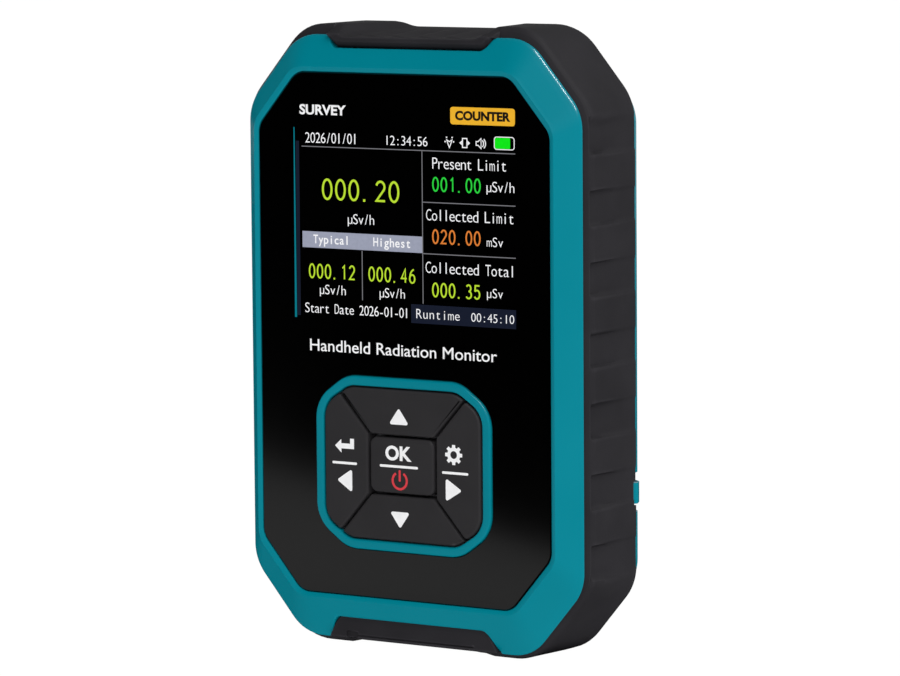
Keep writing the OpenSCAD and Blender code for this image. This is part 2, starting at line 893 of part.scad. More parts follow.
// The half-round weight that shakes the case as it turns.
module motor_weight() {
    color("#7c7468")
        difference() {
            union() {
                intersection() {
                    pin_z(motor_x, motor_y, 2.8, motor_z1 + 1, motor_z1 + 5);
                    block([motor_x - 4, motor_y - 4, motor_z1], [motor_x + 4, motor_y, motor_z1 + 6]);
                }
                pin_z(motor_x, motor_y, 1.1, motor_z1 + 1, motor_z1 + 5);
            }
            pin_z(motor_x, motor_y, shaft_r, motor_z1, motor_z1 + 6);
        }
}

front_frame();
bumper();
rear_shell();
lens_panel();
lens_tape();
keypad_bezel();
key_up();
key_down();
key_left();
key_right();
key_ok();
plunger_up();
plunger_down();
plunger_left();
plunger_right();
plunger_ok();
switch_up();
switch_down();
switch_left();
switch_right();
switch_ok();
keypad_mat();
lcd_glass();
lcd_gasket();
lcd_backlight();
lcd_pad();
lcd_ribbon();
ribbon_connector();
main_board();
board_screws();
processor_chip();
power_chips();
hv_transformer();
hv_capacitors();
usb_shell();
usb_tongue();
tube_glass();
tube_cathode();
tube_anode();
tube_caps();
tube_clips();
tube_cushions();
battery_cell();
battery_tape();
battery_leads();
battery_plug();
battery_socket();
speaker();
speaker_gasket();
motor_can();
motor_cradle();
motor_shaft();
motor_weight();
shell_gasket();
shell_inserts();
shell_screws();
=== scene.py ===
"""The looks of a pocket geiger counter: moulded shells, rubber bumper, keys, lit display and materials.

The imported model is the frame. Lengths in this script are millimetres, with X to the right, +Y from
the front to the back and +Z up; Blender's own data is in metres.
"""

import json
import math
from typing import NamedTuple

import bmesh
import bpy
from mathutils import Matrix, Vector
from mathutils.geometry import tessellate_polygon


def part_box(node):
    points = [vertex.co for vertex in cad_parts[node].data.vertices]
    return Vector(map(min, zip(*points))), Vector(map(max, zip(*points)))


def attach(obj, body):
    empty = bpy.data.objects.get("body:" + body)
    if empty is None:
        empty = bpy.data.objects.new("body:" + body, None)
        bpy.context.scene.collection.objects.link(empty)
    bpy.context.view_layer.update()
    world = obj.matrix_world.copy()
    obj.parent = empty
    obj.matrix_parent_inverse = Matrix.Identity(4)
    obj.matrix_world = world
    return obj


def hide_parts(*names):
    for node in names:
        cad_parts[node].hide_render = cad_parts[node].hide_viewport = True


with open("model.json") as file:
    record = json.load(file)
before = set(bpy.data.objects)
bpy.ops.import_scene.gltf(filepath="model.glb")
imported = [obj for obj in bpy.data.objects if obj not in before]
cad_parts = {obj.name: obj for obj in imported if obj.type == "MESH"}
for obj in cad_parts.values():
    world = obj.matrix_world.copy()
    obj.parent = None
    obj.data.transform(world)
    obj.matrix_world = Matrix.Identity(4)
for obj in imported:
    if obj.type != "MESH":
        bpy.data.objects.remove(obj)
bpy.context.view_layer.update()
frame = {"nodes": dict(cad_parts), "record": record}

MM = 0.001


# ---- Sizes taken from the frame ----


def extent(node):
    """A CAD node's lowest and highest corners in millimetres."""
    low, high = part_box(node)
    return low / MM, high / MM


def middle(node):
    low, high = extent(node)
    return (low + high) / 2


class Outline(NamedTuple):
    """A chamfered rectangle with rounded corners, seen from the front."""

    half: float
    top: float
    bottom: float
    cham_w: float
    cham_h: float
    radius: float


def inset(o, d, c=0.55):
    """The outline moved inwards by d, its chamfers shortened in step."""
    shorter = c * d * 0.6
    return Outline(o.half - d, o.top - d, o.bottom + d, o.cham_w - shorter, o.cham_h - shorter,
                   max(0.5, o.radius - d))


bumper_low, bumper_high = extent("bumper")
front_low, front_high = extent("front_frame")
rear_low, rear_high = extent("rear_shell")
lens_low, lens_high = extent("lens_panel")
bezel_low, bezel_high = extent("keypad_bezel")
ok_low, ok_high = extent("key_ok")
screen_low, screen_high = extent("lcd_gasket")

WALL = 1.6
GAP = 0.1  # between the bumper and its neighbours

case_h = bumper_high.z - 0.4
mid_z = case_h / 2
key_front = ok_low.y
bezel_y = bezel_low.y
panel_y = lens_low.y
tape_y = lens_high.y
plate_y = bezel_high.y
inner_y = plate_y + 1.2
seam_y = panel_y + 4.2
tongue_y = bumper_low.y
rear_seam_y = bumper_high.y
board_y = extent("main_board")[0].y
gasket_y = extent("shell_gasket")[1].y
back_y = rear_high.y
back_in_y = back_y - WALL
key_z = middle("key_ok").z

bumper_front_o = Outline(bumper_high.x, bumper_high.z, bumper_low.z, 12.9, 15.2, 10.0)
bumper_rear_o = Outline(bumper_high.x, bumper_high.z, bumper_low.z, 12.0, 14.3, 11.0)
seam_o = Outline(front_high.x, front_high.z, front_low.z, 11.6, 13.7, 9.0)
skirt_o = Outline(bumper_high.x - 2.6, case_h - 4.8, bumper_low.z + 5.0, 9.8, 11.6, 7.0)
cavity_o = Outline(skirt_o.half - WALL, skirt_o.top - WALL, skirt_o.bottom + WALL, 9.4, 11.1, 6.0)
rear_o = Outline(bumper_high.x - 0.8, rear_high.z, rear_low.z, 10.6, 12.6, 9.0)
panel_o = Outline(lens_high.x, lens_high.z, lens_low.z, 8.9, 10.5, 4.0)
bezel_o = Outline(bezel_high.x, bezel_high.z, bezel_low.z, 7.1, 5.1, 7.0)
well_o = inset(bezel_o, 1.9, 1.2)

boss_places = [(sx * 26.0, mid_z + sz * 48.5) for sx in (-1, 1) for sz in (-1, 1)]
post_places = [(-30.2, 92.0), (-30.2, 28.0), (30.2, 28.0), (29.8, 56.0)]
usb_y = middle("usb_shell").y
speaker_x, _, speaker_z = middle("speaker")
tube_x = middle("tube_glass").x
lug_z = 31.2  # middle height of the lanyard bar


# ---- Outlines as points ----

ARC_STEPS = 8


def vectors(*points):
    return [Vector(p) for p in points]


def corners(o):
    """The outline's eight corners, anticlockwise from the front."""
    inner = o.half - o.cham_w
    low, high = o.bottom + o.cham_h, o.top - o.cham_h
    return vectors((-o.half, low), (-inner, o.bottom), (inner, o.bottom), (o.half, low),
                   (o.half, high), (inner, o.top), (-inner, o.top), (-o.half, high))


def arc(x, z, rx, rz, start, end, steps=14):
    """Points of an ellipse's arc between two angles in degrees."""
    angles = [math.radians(start + (end - start) * k / steps) for k in range(steps + 1)]
    return [Vector((x + rx * math.cos(t), z + rz * math.sin(t))) for t in angles]


def with_neighbours(points):
    """Each point of a closed line, between the ones before and after it."""
    return zip(points[-1:] + points[:-1], points, points[1:] + points[:1])


def fillet(a, b, c, radius, steps=ARC_STEPS):
    """The arc that rounds corner b between its neighbours a and c."""
    u, v = (a - b).normalized(), (c - b).normalized()
    half = u.angle(v) / 2
    centre = b + (u + v).normalized() * radius / math.sin(half)
    spokes = [b + side * radius / math.tan(half) - centre for side in (u, v)]
    start, end = (math.degrees(math.atan2(spoke.y, spoke.x)) for spoke in spokes)
    turn = (end - start + 180) % 360 - 180
    return arc(centre.x, centre.y, radius, radius, start, start + turn, steps)


def rounded(points, radius, steps=ARC_STEPS):
    """A polygon with every corner rounded."""
    return [p for a, b, c in with_neighbours(points) for p in fillet(a, b, c, radius, steps)]


def even(count):
    """Where to divide an edge into equal steps."""
    return [k / count for k in range(1, count)]


def ring(o, cuts=((),) * 8):
    """The outline's points (x, z); cuts[i] says where its straight edge i is divided."""
    arcs = [fillet(a, b, c, o.radius) for a, b, c in with_neighbours(corners(o))]
    loop = []
    for turn, after, shares in zip(arcs, arcs[1:] + arcs[:1], cuts):
        loop += turn + [turn[-1].lerp(after[0], t) for t in shares]
    return loop


def mix(a, b, t):
    """Points part way from one loop to another."""
    return [p.lerp(q, t) for p, q in zip(a, b)]


def rectangle(x0, x1, z0, z1):
    return vectors((x0, z0), (x1, z0), (x1, z1), (x0, z1))


def quarter(steps):
    """Sines and cosines of angles from zero to a right angle."""
    angles = [math.pi / 2 * k / steps for k in range(steps + 1)]
    return [(math.sin(t), math.cos(t)) for t in angles]


def circle(x, z, radius, steps=32):
    return arc(x, z, radius, radius, 0, 360, steps)[:-1]


def resample(points, count):
    """Points evenly spaced along a polyline."""
    lengths = [0.0]
    for p, q in zip(points, points[1:]):
        lengths.append(lengths[-1] + (q - p).length)
    result = []
    i = 0
    for k in range(count):
        want = lengths[-1] * k / (count - 1)
        while i < len(points) - 2 and lengths[i + 1] < want:
            i += 1
        step = lengths[i + 1] - lengths[i]
        result.append(points[i].lerp(points[i + 1], (want - lengths[i]) / step if step else 0.0))
    return result


def smooth_max(a, b, width):
    """The larger of two numbers, with a rounded change over width."""
    h = max(width - abs(a - b), 0.0) / width
    return max(a, b) + h * h * width / 4


def smooth_step(low, high, value):
    t = min(max((value - low) / (high - low), 0.0), 1.0)
    return t * t * (3 - 2 * t)


# ---- Meshes ----


class Shape:
    """A mesh under construction, in millimetres."""

    def __init__(self):
        self.points = []
        self.faces = []

    def add(self, points, faces):
        base = len(self.points)
        self.points += [tuple(p) for p in points]
        self.faces += [[base + i for i in face] for face in faces]

    def grid(self, columns, wrap=True, closed=False):
        """Quads between columns of points; wrap joins the last column to the first."""
        n, m = len(columns), len(columns[0])
        faces = []
        for i in range(n if wrap else n - 1):
            j = (i + 1) % n
            for k in range(m if closed else m - 1):
                up = (k + 1) % m
                faces.append((i * m + k, j * m + k, j * m + up, i * m + up))
        self.add([p for column in columns for p in column], faces)

    def loops(self, pairs):
        """Quads between loops that follow one another, each given with its depth."""
        self.grid([list(column) for column in zip(*(at_depth(loop, y) for loop, y in pairs))])

    def fill(self, y, outer, holes=()):
        """Flat faces at depth y inside one loop and outside the holes."""
        rings = [outer, *holes]
        flat = [[Vector((p.x, p.y, 0)) for p in loop] for loop in rings]
        points = [(p.x, y, p.y) for loop in rings for p in loop]
        self.add(points, tessellate_polygon(flat))

    def tube(self, outer, inner, y0, y1, wrap=True):
        """A solid between two lines of equal length, from depth y0 to depth y1, with ends unless it wraps."""
        columns = [[(p.x, y0, p.y), (p.x, y1, p.y), (q.x, y1, q.y), (q.x, y0, q.y)]
                   for p, q in zip(outer, inner)]
        self.grid(columns, wrap, closed=True)
        for end in () if wrap else (columns[0], columns[-1]):
            self.add(end, [(0, 1, 2, 3)])

    def prism(self, outline, y0, y1, holes=()):
        """A solid of one outline with holes, from depth y0 to depth y1."""
        for y in (y0, y1):
            self.fill(y, outline, holes)
        for loop in (outline, *holes):
            self.loops([(loop, y0), (loop, y1)])


def at_depth(loop, y):
    return [(p.x, y, p.y) for p in loop]


def link_object(name, data):
    obj = bpy.data.objects.new(name, data)
    bpy.context.scene.collection.objects.link(obj)
    return obj


def new_object(name, shape):
    mesh = bpy.data.meshes.new(name)
    mesh.from_pydata([[c * MM for c in p] for p in shape.points], [], shape.faces)
    bm = bmesh.new()
    bm.from_mesh(mesh)
    bmesh.ops.remove_doubles(bm, verts=bm.verts, dist=1e-6)
    bmesh.ops.dissolve_degenerate(bm, edges=bm.edges, dist=1e-7)
    bmesh.ops.recalc_face_normals(bm, faces=bm.faces)
    bm.to_mesh(mesh)
    bm.free()
    return link_object(name, mesh)


def cut(obj, shape):
    """Takes a closed shape out of an object."""
    cutter = new_object("cutter", shape)
    modifier = obj.modifiers.new("cut", "BOOLEAN")
    modifier.object = cutter
    modifier.solver = "EXACT"
    graph = bpy.context.evaluated_depsgraph_get()
    mesh = bpy.data.meshes.new_from_object(obj.evaluated_get(graph))
    obj.modifiers.clear()
    obj.data = mesh
    bpy.data.objects.remove(cutter)


def join(obj, shape):
    """Adds separate solids to an object."""
    bm = bmesh.new()
    bm.from_mesh(obj.data)
    extra = new_object("extra", shape)
    bm.from_mesh(extra.data)
    bm.to_mesh(obj.data)
    bm.free()
    bpy.data.objects.remove(extra)


def place(obj, slot, body="case", replaced=(), sharp=38):
    """Shades an object, gives it its finish, and lets it move with its body."""
    obj.data.shade_smooth()
    obj.data.set_sharp_from_angle(angle=math.radians(sharp))
    obj.data.materials.clear()
    obj.data.materials.append(MATERIALS[slot])
    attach(obj, body)
    if replaced:
        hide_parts(*replaced)
    return obj


# ---- Materials ----


class Look(NamedTuple):
    """How a material looks. Scales are cycles per metre, and heights are millimetres."""

    color: tuple
    rough: float
    vary: float  # share by which the colour wanders
    grain: float  # scale of the fine surface grain
    height: float  # height of the fine grain
    metal: float = 0.0
    specular: float = 0.5
    patch: float = 60.0  # scale of the colour's patches
    spread: float = 0.05  # how far the roughness wanders
    stretch: tuple = (1.0, 1.0, 1.0)
    coat: float = 0.0
    alpha: float = 1.0
    glow: float = 0.0
    edge: float = 0.0  # how much lighter convex edges are: partly rubbed wear, partly a painted highlight
    pattern: str = ""
    second: tuple = (0.0, 0.0, 0.0)
    pitch: float = 400.0


BLACK = (0.0, 0.0, 0.0, 1.0)
WHITE = (1.0, 1.0, 1.0, 1.0)


def feed(tree, socket, value):
    """Gives an input a link or a value."""
    if isinstance(value, bpy.types.NodeSocket):
        tree.links.new(value, socket)
    else:
        socket.default_value = value


def linked(tree, kind, **inputs):
    """A new node with values or links on its inputs."""
    node = tree.nodes.new(kind)
    for name, value in inputs.items():
        feed(tree, node.inputs[name.replace("_", " ")], value)
    return node


def opaque(color):
    return (*color, 1.0)


def blend_colors(tree, factor, a, b):
    """A colour between a and b; each is a colour or a socket."""
    node = tree.nodes.new("ShaderNodeMix")
    node.data_type = "RGBA"
    for k, value in ((0, factor), (6, a), (7, b)):
        feed(tree, node.inputs[k], value)
    return node.outputs[2]


def remap(tree, value, low, high, to_low, to_high):
    return linked(tree, "ShaderNodeMapRange", Value=value, From_Min=low, From_Max=high, To_Min=to_low,
                  To_Max=to_high).outputs["Result"]


def pattern_mask(tree, look, where):
    """The factor of a look's second colour."""
    if look.pattern == "traces":
        return linked(tree, "ShaderNodeTexBrick", Vector=where, Scale=look.pitch, Mortar_Size=0.06,
                      Color1=BLACK, Color2=BLACK, Mortar=WHITE).outputs["Color"]
    if look.pattern == "cells":
        cells = linked(tree, "ShaderNodeTexVoronoi", Vector=where, Scale=look.pitch)
        return remap(tree, cells.outputs["Distance"], 0.1, 0.6, 1.0, 0.0)
    wave = linked(tree, "ShaderNodeTexWave", Vector=where, Scale=look.pitch, Distortion=1.5)
    return remap(tree, wave.outputs["Fac"], 0.35, 0.65, 0.0, 1.0)


def make_material(title, look):
    """One Principled surface whose colour, roughness and bump come from nodes."""
    material = bpy.data.materials.new(title)
    material.use_nodes = True
    tree = material.node_tree
    shader = tree.nodes["Principled BSDF"]
    origin = tree.nodes.new("ShaderNodeTexCoord").outputs["Object"]
    where = linked(tree, "ShaderNodeMapping", Vector=origin, Scale=look.stretch).outputs[0]
    broad = linked(tree, "ShaderNodeTexNoise", Vector=where, Scale=look.patch, Detail=4.0).outputs[0]
    fine = linked(tree, "ShaderNodeTexNoise", Vector=where, Scale=look.grain, Detail=3.0).outputs[0]

    def shade(share):
        return opaque([min(1.0, c * (1 + share)) for c in look.color])
    color = blend_colors(tree, remap(tree, broad, 0.3, 0.7, 0.0, 1.0), shade(-look.vary), shade(look.vary))
    if look.pattern:
        color = blend_colors(tree, pattern_mask(tree, look, where), color, opaque(look.second))
    # Convex edges painted lighter: partly rubbed wear, partly a painted highlight along the edges.
    if look.edge:
        sharp = tree.nodes.new("ShaderNodeNewGeometry").outputs["Pointiness"]
        color = blend_colors(tree, remap(tree, sharp, 0.51, 0.6, 0.0, 1.0), color, shade(look.edge))
    values = {
        "Base Color": blend_colors(tree, 0.85, color, BLACK) if look.glow else color,
        "Roughness": remap(tree, broad, 0.3, 0.7, look.rough - look.spread, look.rough + look.spread),
        "Normal": linked(tree, "ShaderNodeBump", Height=fine, Distance=look.height * MM,
                         Strength=1.0).outputs[0],
        "Metallic": look.metal, "Specular IOR Level": look.specular, "Coat Weight": look.coat,
        "Alpha": look.alpha}
    if look.glow:
        values |= {"Emission Color": color, "Emission Strength": look.glow}
    for name, value in values.items():
        feed(tree, shader.inputs[name], value)
    return material


# Colour, roughness, variation, scale and height of the grain, then what is special to the material.
LOOKS = {
    "teal_shell": Look((0.0, 0.206, 0.266), 0.24, 0.03, 5200, 0.004, specular=0.1, patch=45, spread=0.03,
        edge=0.1),
    "bumper_rubber": Look((0.0235, 0.0225, 0.0255), 0.62, 0.1, 4200, 0.03, specular=0.02, patch=90,
        spread=0.06, edge=0.8),
    "lens_black": Look((0.0002, 0.0002, 0.0002), 0.13, 0.1, 300, 0.0002, specular=0.8, patch=25,
        spread=0.012),
    "key_rubber": Look((0.027, 0.0258, 0.0278), 0.5, 0.06, 6000, 0.008, specular=0.12, patch=120,
        spread=0.04, edge=0.7),
    "adhesive": Look((0.75, 0.72, 0.6), 0.6, 0.05, 3000, 0.01, patch=200),
    "grey_silicone": Look((0.12, 0.12, 0.13), 0.62, 0.06, 2600, 0.012, specular=0.35, patch=150),
    "display_glass": Look((0.012, 0.016, 0.02), 0.06, 0.2, 500, 0.0003, patch=30, spread=0.02, coat=0.4),
    "black_foam": Look((0.03, 0.03, 0.03), 0.9, 0.2, 1500, 0.12, specular=0.2, pattern="cells",
        second=(0.008, 0.008, 0.008), pitch=1800),
    "white_plastic": Look((0.8, 0.8, 0.78), 0.45, 0.03, 3500, 0.006),
    "ribbon_film": Look((0.55, 0.2, 0.035), 0.28, 0.05, 900, 0.004, stretch=(0.0, 0.0, 1.0),
        pattern="stripes", second=(0.62, 0.33, 0.1), pitch=320),
    "cream_plastic": Look((0.78, 0.72, 0.58), 0.48, 0.04, 3500, 0.008),
    "board_green": Look((0.012, 0.105, 0.04), 0.33, 0.12, 900, 0.012, patch=120, coat=0.25, pattern="traces",
        second=(0.03, 0.22, 0.08), pitch=95),
    "screw_steel": Look((0.62, 0.63, 0.65), 0.32, 0.06, 2500, 0.006, metal=1.0, spread=0.08),
    "chip_black": Look((0.02, 0.02, 0.022), 0.62, 0.15, 5000, 0.02),
    "ferrite": Look((0.1, 0.085, 0.075), 0.7, 0.2, 3500, 0.03, patch=400, stretch=(0.0, 0.0, 1.0),
        pattern="stripes", second=(0.42, 0.17, 0.05), pitch=300),
    "blue_ceramic": Look((0.025, 0.13, 0.46), 0.3, 0.1, 600, 0.03, coat=0.3),
    "detector_glass": Look((0.75, 0.7, 0.6), 0.08, 0.05, 300, 0.002, spread=0.02, alpha=0.35),
    "cathode_metal": Look((0.5, 0.5, 0.52), 0.38, 0.06, 1400, 0.01, metal=1.0, stretch=(1.0, 1.0, 0.05)),
    "cap_metal": Look((0.7, 0.7, 0.72), 0.3, 0.06, 1800, 0.008, metal=1.0, stretch=(0.2, 0.2, 1.0)),
    "spring_brass": Look((0.72, 0.52, 0.22), 0.32, 0.12, 1600, 0.008, metal=1.0),
    "cell_foil": Look((0.68, 0.68, 0.7), 0.34, 0.05, 420, 0.09, metal=1.0, patch=80, spread=0.08),
    "lead_red": Look((0.4, 0.02, 0.02), 0.36, 0.08, 1200, 0.01),
    "speaker_black": Look((0.025, 0.025, 0.027), 0.5, 0.1, 3000, 0.015),
    "weight_metal": Look((0.3, 0.28, 0.26), 0.5, 0.15, 4000, 0.03, metal=1.0),
    "dark_screw": Look((0.05, 0.05, 0.055), 0.38, 0.15, 2500, 0.008, metal=1.0),
    "switch_grey": Look((0.1, 0.1, 0.11), 0.5, 0.08, 3200, 0.01),
    "legend_white": Look((0.9, 0.9, 0.91), 0.55, 0.04, 6000, 0.004, patch=600),
    "legend_red": Look((0.72, 0.03, 0.045), 0.5, 0.06, 6000, 0.004, patch=600),
    "badge_orange": Look((0.9, 0.46, 0.0), 0.5, 0.03, 6000, 0.002, patch=500),
    "badge_black": Look((0.004, 0.004, 0.004), 0.5, 0.05, 6000, 0.002),
}
LIT_COLORS = {
    "screen_white": (0.84, 0.84, 0.86),
    "screen_grey": (0.30, 0.32, 0.41),
    "screen_rule": (0.17, 0.17, 0.185),
    "screen_green": (0.02, 0.60, 0.045),
    "screen_battery": (0.002, 0.74, 0.006),
    "screen_lime": (0.46, 0.68, 0.03),
    "screen_orange": (0.68, 0.19, 0.03),
    "screen_teal": (0.0, 0.17, 0.22),
    "screen_navy": (0.008, 0.011, 0.024),
}
for lit_name, lit_color in LIT_COLORS.items():
    LOOKS[lit_name] = Look(lit_color, 0.4, 0.05, 6600, 0.001, specular=0.1, patch=1500, spread=0.02,
                           glow=0.92)
MATERIALS = {name: make_material(name, look) for name, look in LOOKS.items()}

for part in frame["record"]["subparts"]:
    node_mesh = frame["nodes"][part["node"]].data
    node_mesh.materials.clear()
    node_mesh.materials.append(MATERIALS[part["material_slot"]])


# ---- The notches and the bumper's valleys ----


class Edge(NamedTuple):
    """The top or the bottom of the case. Depths are measured inwards from the case's end."""

    end: float  # height of the case's end
    inward: float  # direction of the case's middle
    depth: float  # depth of the notch's floor
    slope: float  # rise of the notch's side for each unit of its run
    front: float  # depth of the bumper's valley at its front
    rear: float  # and at its rear

    def height(self, depth):
        return self.end + self.inward * depth

    def depth_of(self, z):
        return (z - self.end) * self.inward


TOP = Edge(case_h, -1.0, 4.1, 1.5, 1.95, 0.6)
BOTTOM = Edge(0.0, 1.0, 5.6, 1.9, 0.95, 0.5)
NOTCH_HALF = 17.1
END_HALF = 24.0  # half width of the part of an end that holds the notch
NOTCH_CORNER = 1.0


def edge_of(z):
    return TOP if z > mid_z else BOTTOM


def notch_depth(edge, x):
    """How deep the notch in the coloured frame is at x."""
    run = smooth_max(abs(x) - NOTCH_HALF, 0.0, NOTCH_CORNER)
    return edge.depth - edge.slope * run


RIDGE_PITCH = 6.2
RIDGE_HEIGHT = 0.8


def valley_depth(edge, x, y):
    """How deep the valley between two corner bumps is, with its saw-tooth ridges."""
    back = (y + 11.0) / 20.0
    half = 15.6 - 4.6 * back
    run = smooth_max(abs(x) - half, 0.0, 1.5)
    tooth = ((x + 2.0 * RIDGE_PITCH) / RIDGE_PITCH) % 1.0
    ramp = tooth / 0.8 if tooth < 0.8 else (1.0 - tooth) / 0.2
    fade = smooth_step(-9.8, -8.2, y) * (1.0 - smooth_step(-3.0, 6.0, y))
    ridges = RIDGE_HEIGHT * ramp * fade * (1.0 - smooth_step(10.0, 13.0, abs(x)))
    floor = edge.front + (edge.rear - edge.front) * back
    return floor - (0.75 - 0.37 * back) * run + (ridges if edge is TOP else 0.0)


# ---- Front frame ----

# Where the case's ends are divided: closely at the notches' walls, then at the ridges between them.
END_CUTS = sorted({0.5 + side * t for side in (-1, 1) for t in (
    [0.009 * k for k in range(37)] + [0.333 + 0.0036 * k for k in range(37)] + [0.473, 0.485])})
FRAME_CUTS = (even(3), END_CUTS, even(3), even(6)) * 2
RIDGE_RISE = 0.22  # how far the ridge round the panel stands proud of it
SLOPE_POINTS = 26

# The face from the ridge (0) to the seam (1), as share and depth.
SLOPE = vectors((0.0, panel_y - RIDGE_RISE), (0.06, panel_y + 0.06), (0.775, seam_y - 1.4),
                (0.93, seam_y - 0.72), (0.98, seam_y - 0.4), (1.0, seam_y))


def slope_until(limit):
    """The sloping face, stopped at a share of its width by the notch's wall."""
    if limit >= 1.0:
        return SLOPE
    kept = [SLOPE[0]]
    for p, q in zip(SLOPE, SLOPE[1:]):
        if q.x >= limit:
            stop = p.lerp(q, (limit - p.x) / (q.x - p.x))
            lip = p.lerp(stop, max(0.0, 1.0 - 0.03 / max(stop.x - p.x, 0.001)))
            return kept + [lip, stop + Vector((0.0, 0.12)), Vector((limit, seam_y))]
        kept.append(q)
    return SLOPE


def build_front_frame():
    opening, strip = (ring(inset(panel_o, -d), FRAME_CUTS) for d in (0.15, 0.3))
    crest_in, crest = (ring(inset(panel_o, -d, 0.5), FRAME_CUTS) for d in (0.95, 1.1))
    seam, skirt, cavity = (ring(o, FRAME_CUTS) for o in (seam_o, skirt_o, cavity_o))
    columns = []
    for i, p in enumerate(crest):
        edge = edge_of(p.y)
        outer, inner = edge.depth_of(seam[i].y), edge.depth_of(p.y)
        notch = notch_depth(edge, seam[i].x)
        in_end = abs(p.x) <= END_HALF and inner > outer
        limit = min(1.0, (inner - notch) / (inner - outer)) if in_end else 1.0
        column = [(opening[i], plate_y), (opening[i], panel_y + 0.12), (strip[i], panel_y),
                  (crest_in[i], panel_y - RIDGE_RISE + 0.02)]
        column += [(p.lerp(seam[i], s.x), s.y) for s in resample(slope_until(limit), SLOPE_POINTS)]
        column += [(skirt[i], seam_y), (skirt[i], -0.15), (skirt[i].lerp(cavity[i], 0.1), 0.0),
                   (cavity[i], 0.0), (cavity[i], inner_y)]
        columns.append([(q.x, y, q.y) for q, y in column])
    shape = Shape()
    shape.grid(columns)
    window = rounded(rectangle(screen_low.x + 2.0, screen_high.x - 2.0,
                               screen_low.z + 1.6, screen_high.z - 1.2), 0.6, 3)
    holes = [ring(inset(bezel_o, 1.0)), window]
    shape.fill(plate_y, opening, holes)
    shape.fill(inner_y, cavity, holes)
    for hole in holes:
        shape.loops([(hole, plate_y), (hole, inner_y)])
    obj = new_object("front_frame_shell", shape)
    cut(obj, usb_cutter(4.9, 1.8, -1.0, cavity_o.bottom + 1.0))
    posts = Shape()
    for x, z in boss_places:
        posts.tube(circle(x, z, 2.9), circle(x, z, 1.9), inner_y - 0.1, 0.8)
    for x, z in post_places:
        posts.tube(circle(x, z, 2.2), circle(x, z, 1.0), inner_y - 0.1, board_y)
    join(obj, posts)
    return place(obj, "teal_shell", replaced=["front_frame"])


def usb_cutter(half_w, half_t, z0, z1):
    """An upright obround round the charging socket."""
    reach = half_w - half_t
    loop = arc(reach, usb_y, half_t, half_t, -90, 90, 16) + arc(-reach, usb_y, half_t, half_t, 90, 270, 16)
    return upright(loop, z0, z1)


def upright(loop, z0, z1, holes=()):
    """A solid of a loop in X and Y, from height z0 to height z1."""
    shape = Shape()
    shape.prism(loop, z0, z1, holes)
    shape.points = [(x, z, y) for x, y, z in shape.points]
    return shape


# ---- Bumper ----

BUMPER_CUTS = (even(3), END_CUTS, even(3), even(190)) * 2
FRONT_POINTS = 36
SIDE_Y = -6.5  # where the front lip ends and the plain side begins
RIM_Y = rear_seam_y - 0.6  # where the rear edge starts to round
REAR_YS = [SIDE_Y + (RIM_Y - SIDE_Y) * k / 24 for k in range(1, 25)] + [RIM_Y + 0.3, RIM_Y + 0.5, rear_seam_y]
LOW_SWELL = 0.45  # how much fuller the lower corners are at the back
GRIP_PITCH = 13.4
GRIP_HALF = 3.0  # half height of one recess
GRIP_COUNT = 7
GRIP_CUT = 0.9
GRIP_X = 33.0  # the sides beyond this have the recesses


def grip_depth(z, y):
    """How deep a side recess is: sharp at its front wall and shallower towards the back."""
    k = round((z - mid_z) / GRIP_PITCH)
    if abs(k) > GRIP_COUNT // 2:
        return 0.0
    off = abs(z - mid_z - k * GRIP_PITCH)
    across = 1.0 - smooth_step(GRIP_HALF - 0.1, GRIP_HALF + 0.4, off)
    along = smooth_step(-7.4, -6.7, y)
    return across * along * (GRIP_CUT - 0.75 * smooth_step(-6.6, rear_seam_y, y))


def outward(loop, i):
    """The outline's outward direction at point i."""
    tangent = loop[(i + 1) % len(loop)] - loop[i - 1]
    return Vector((tangent.y, -tangent.x)).normalized()


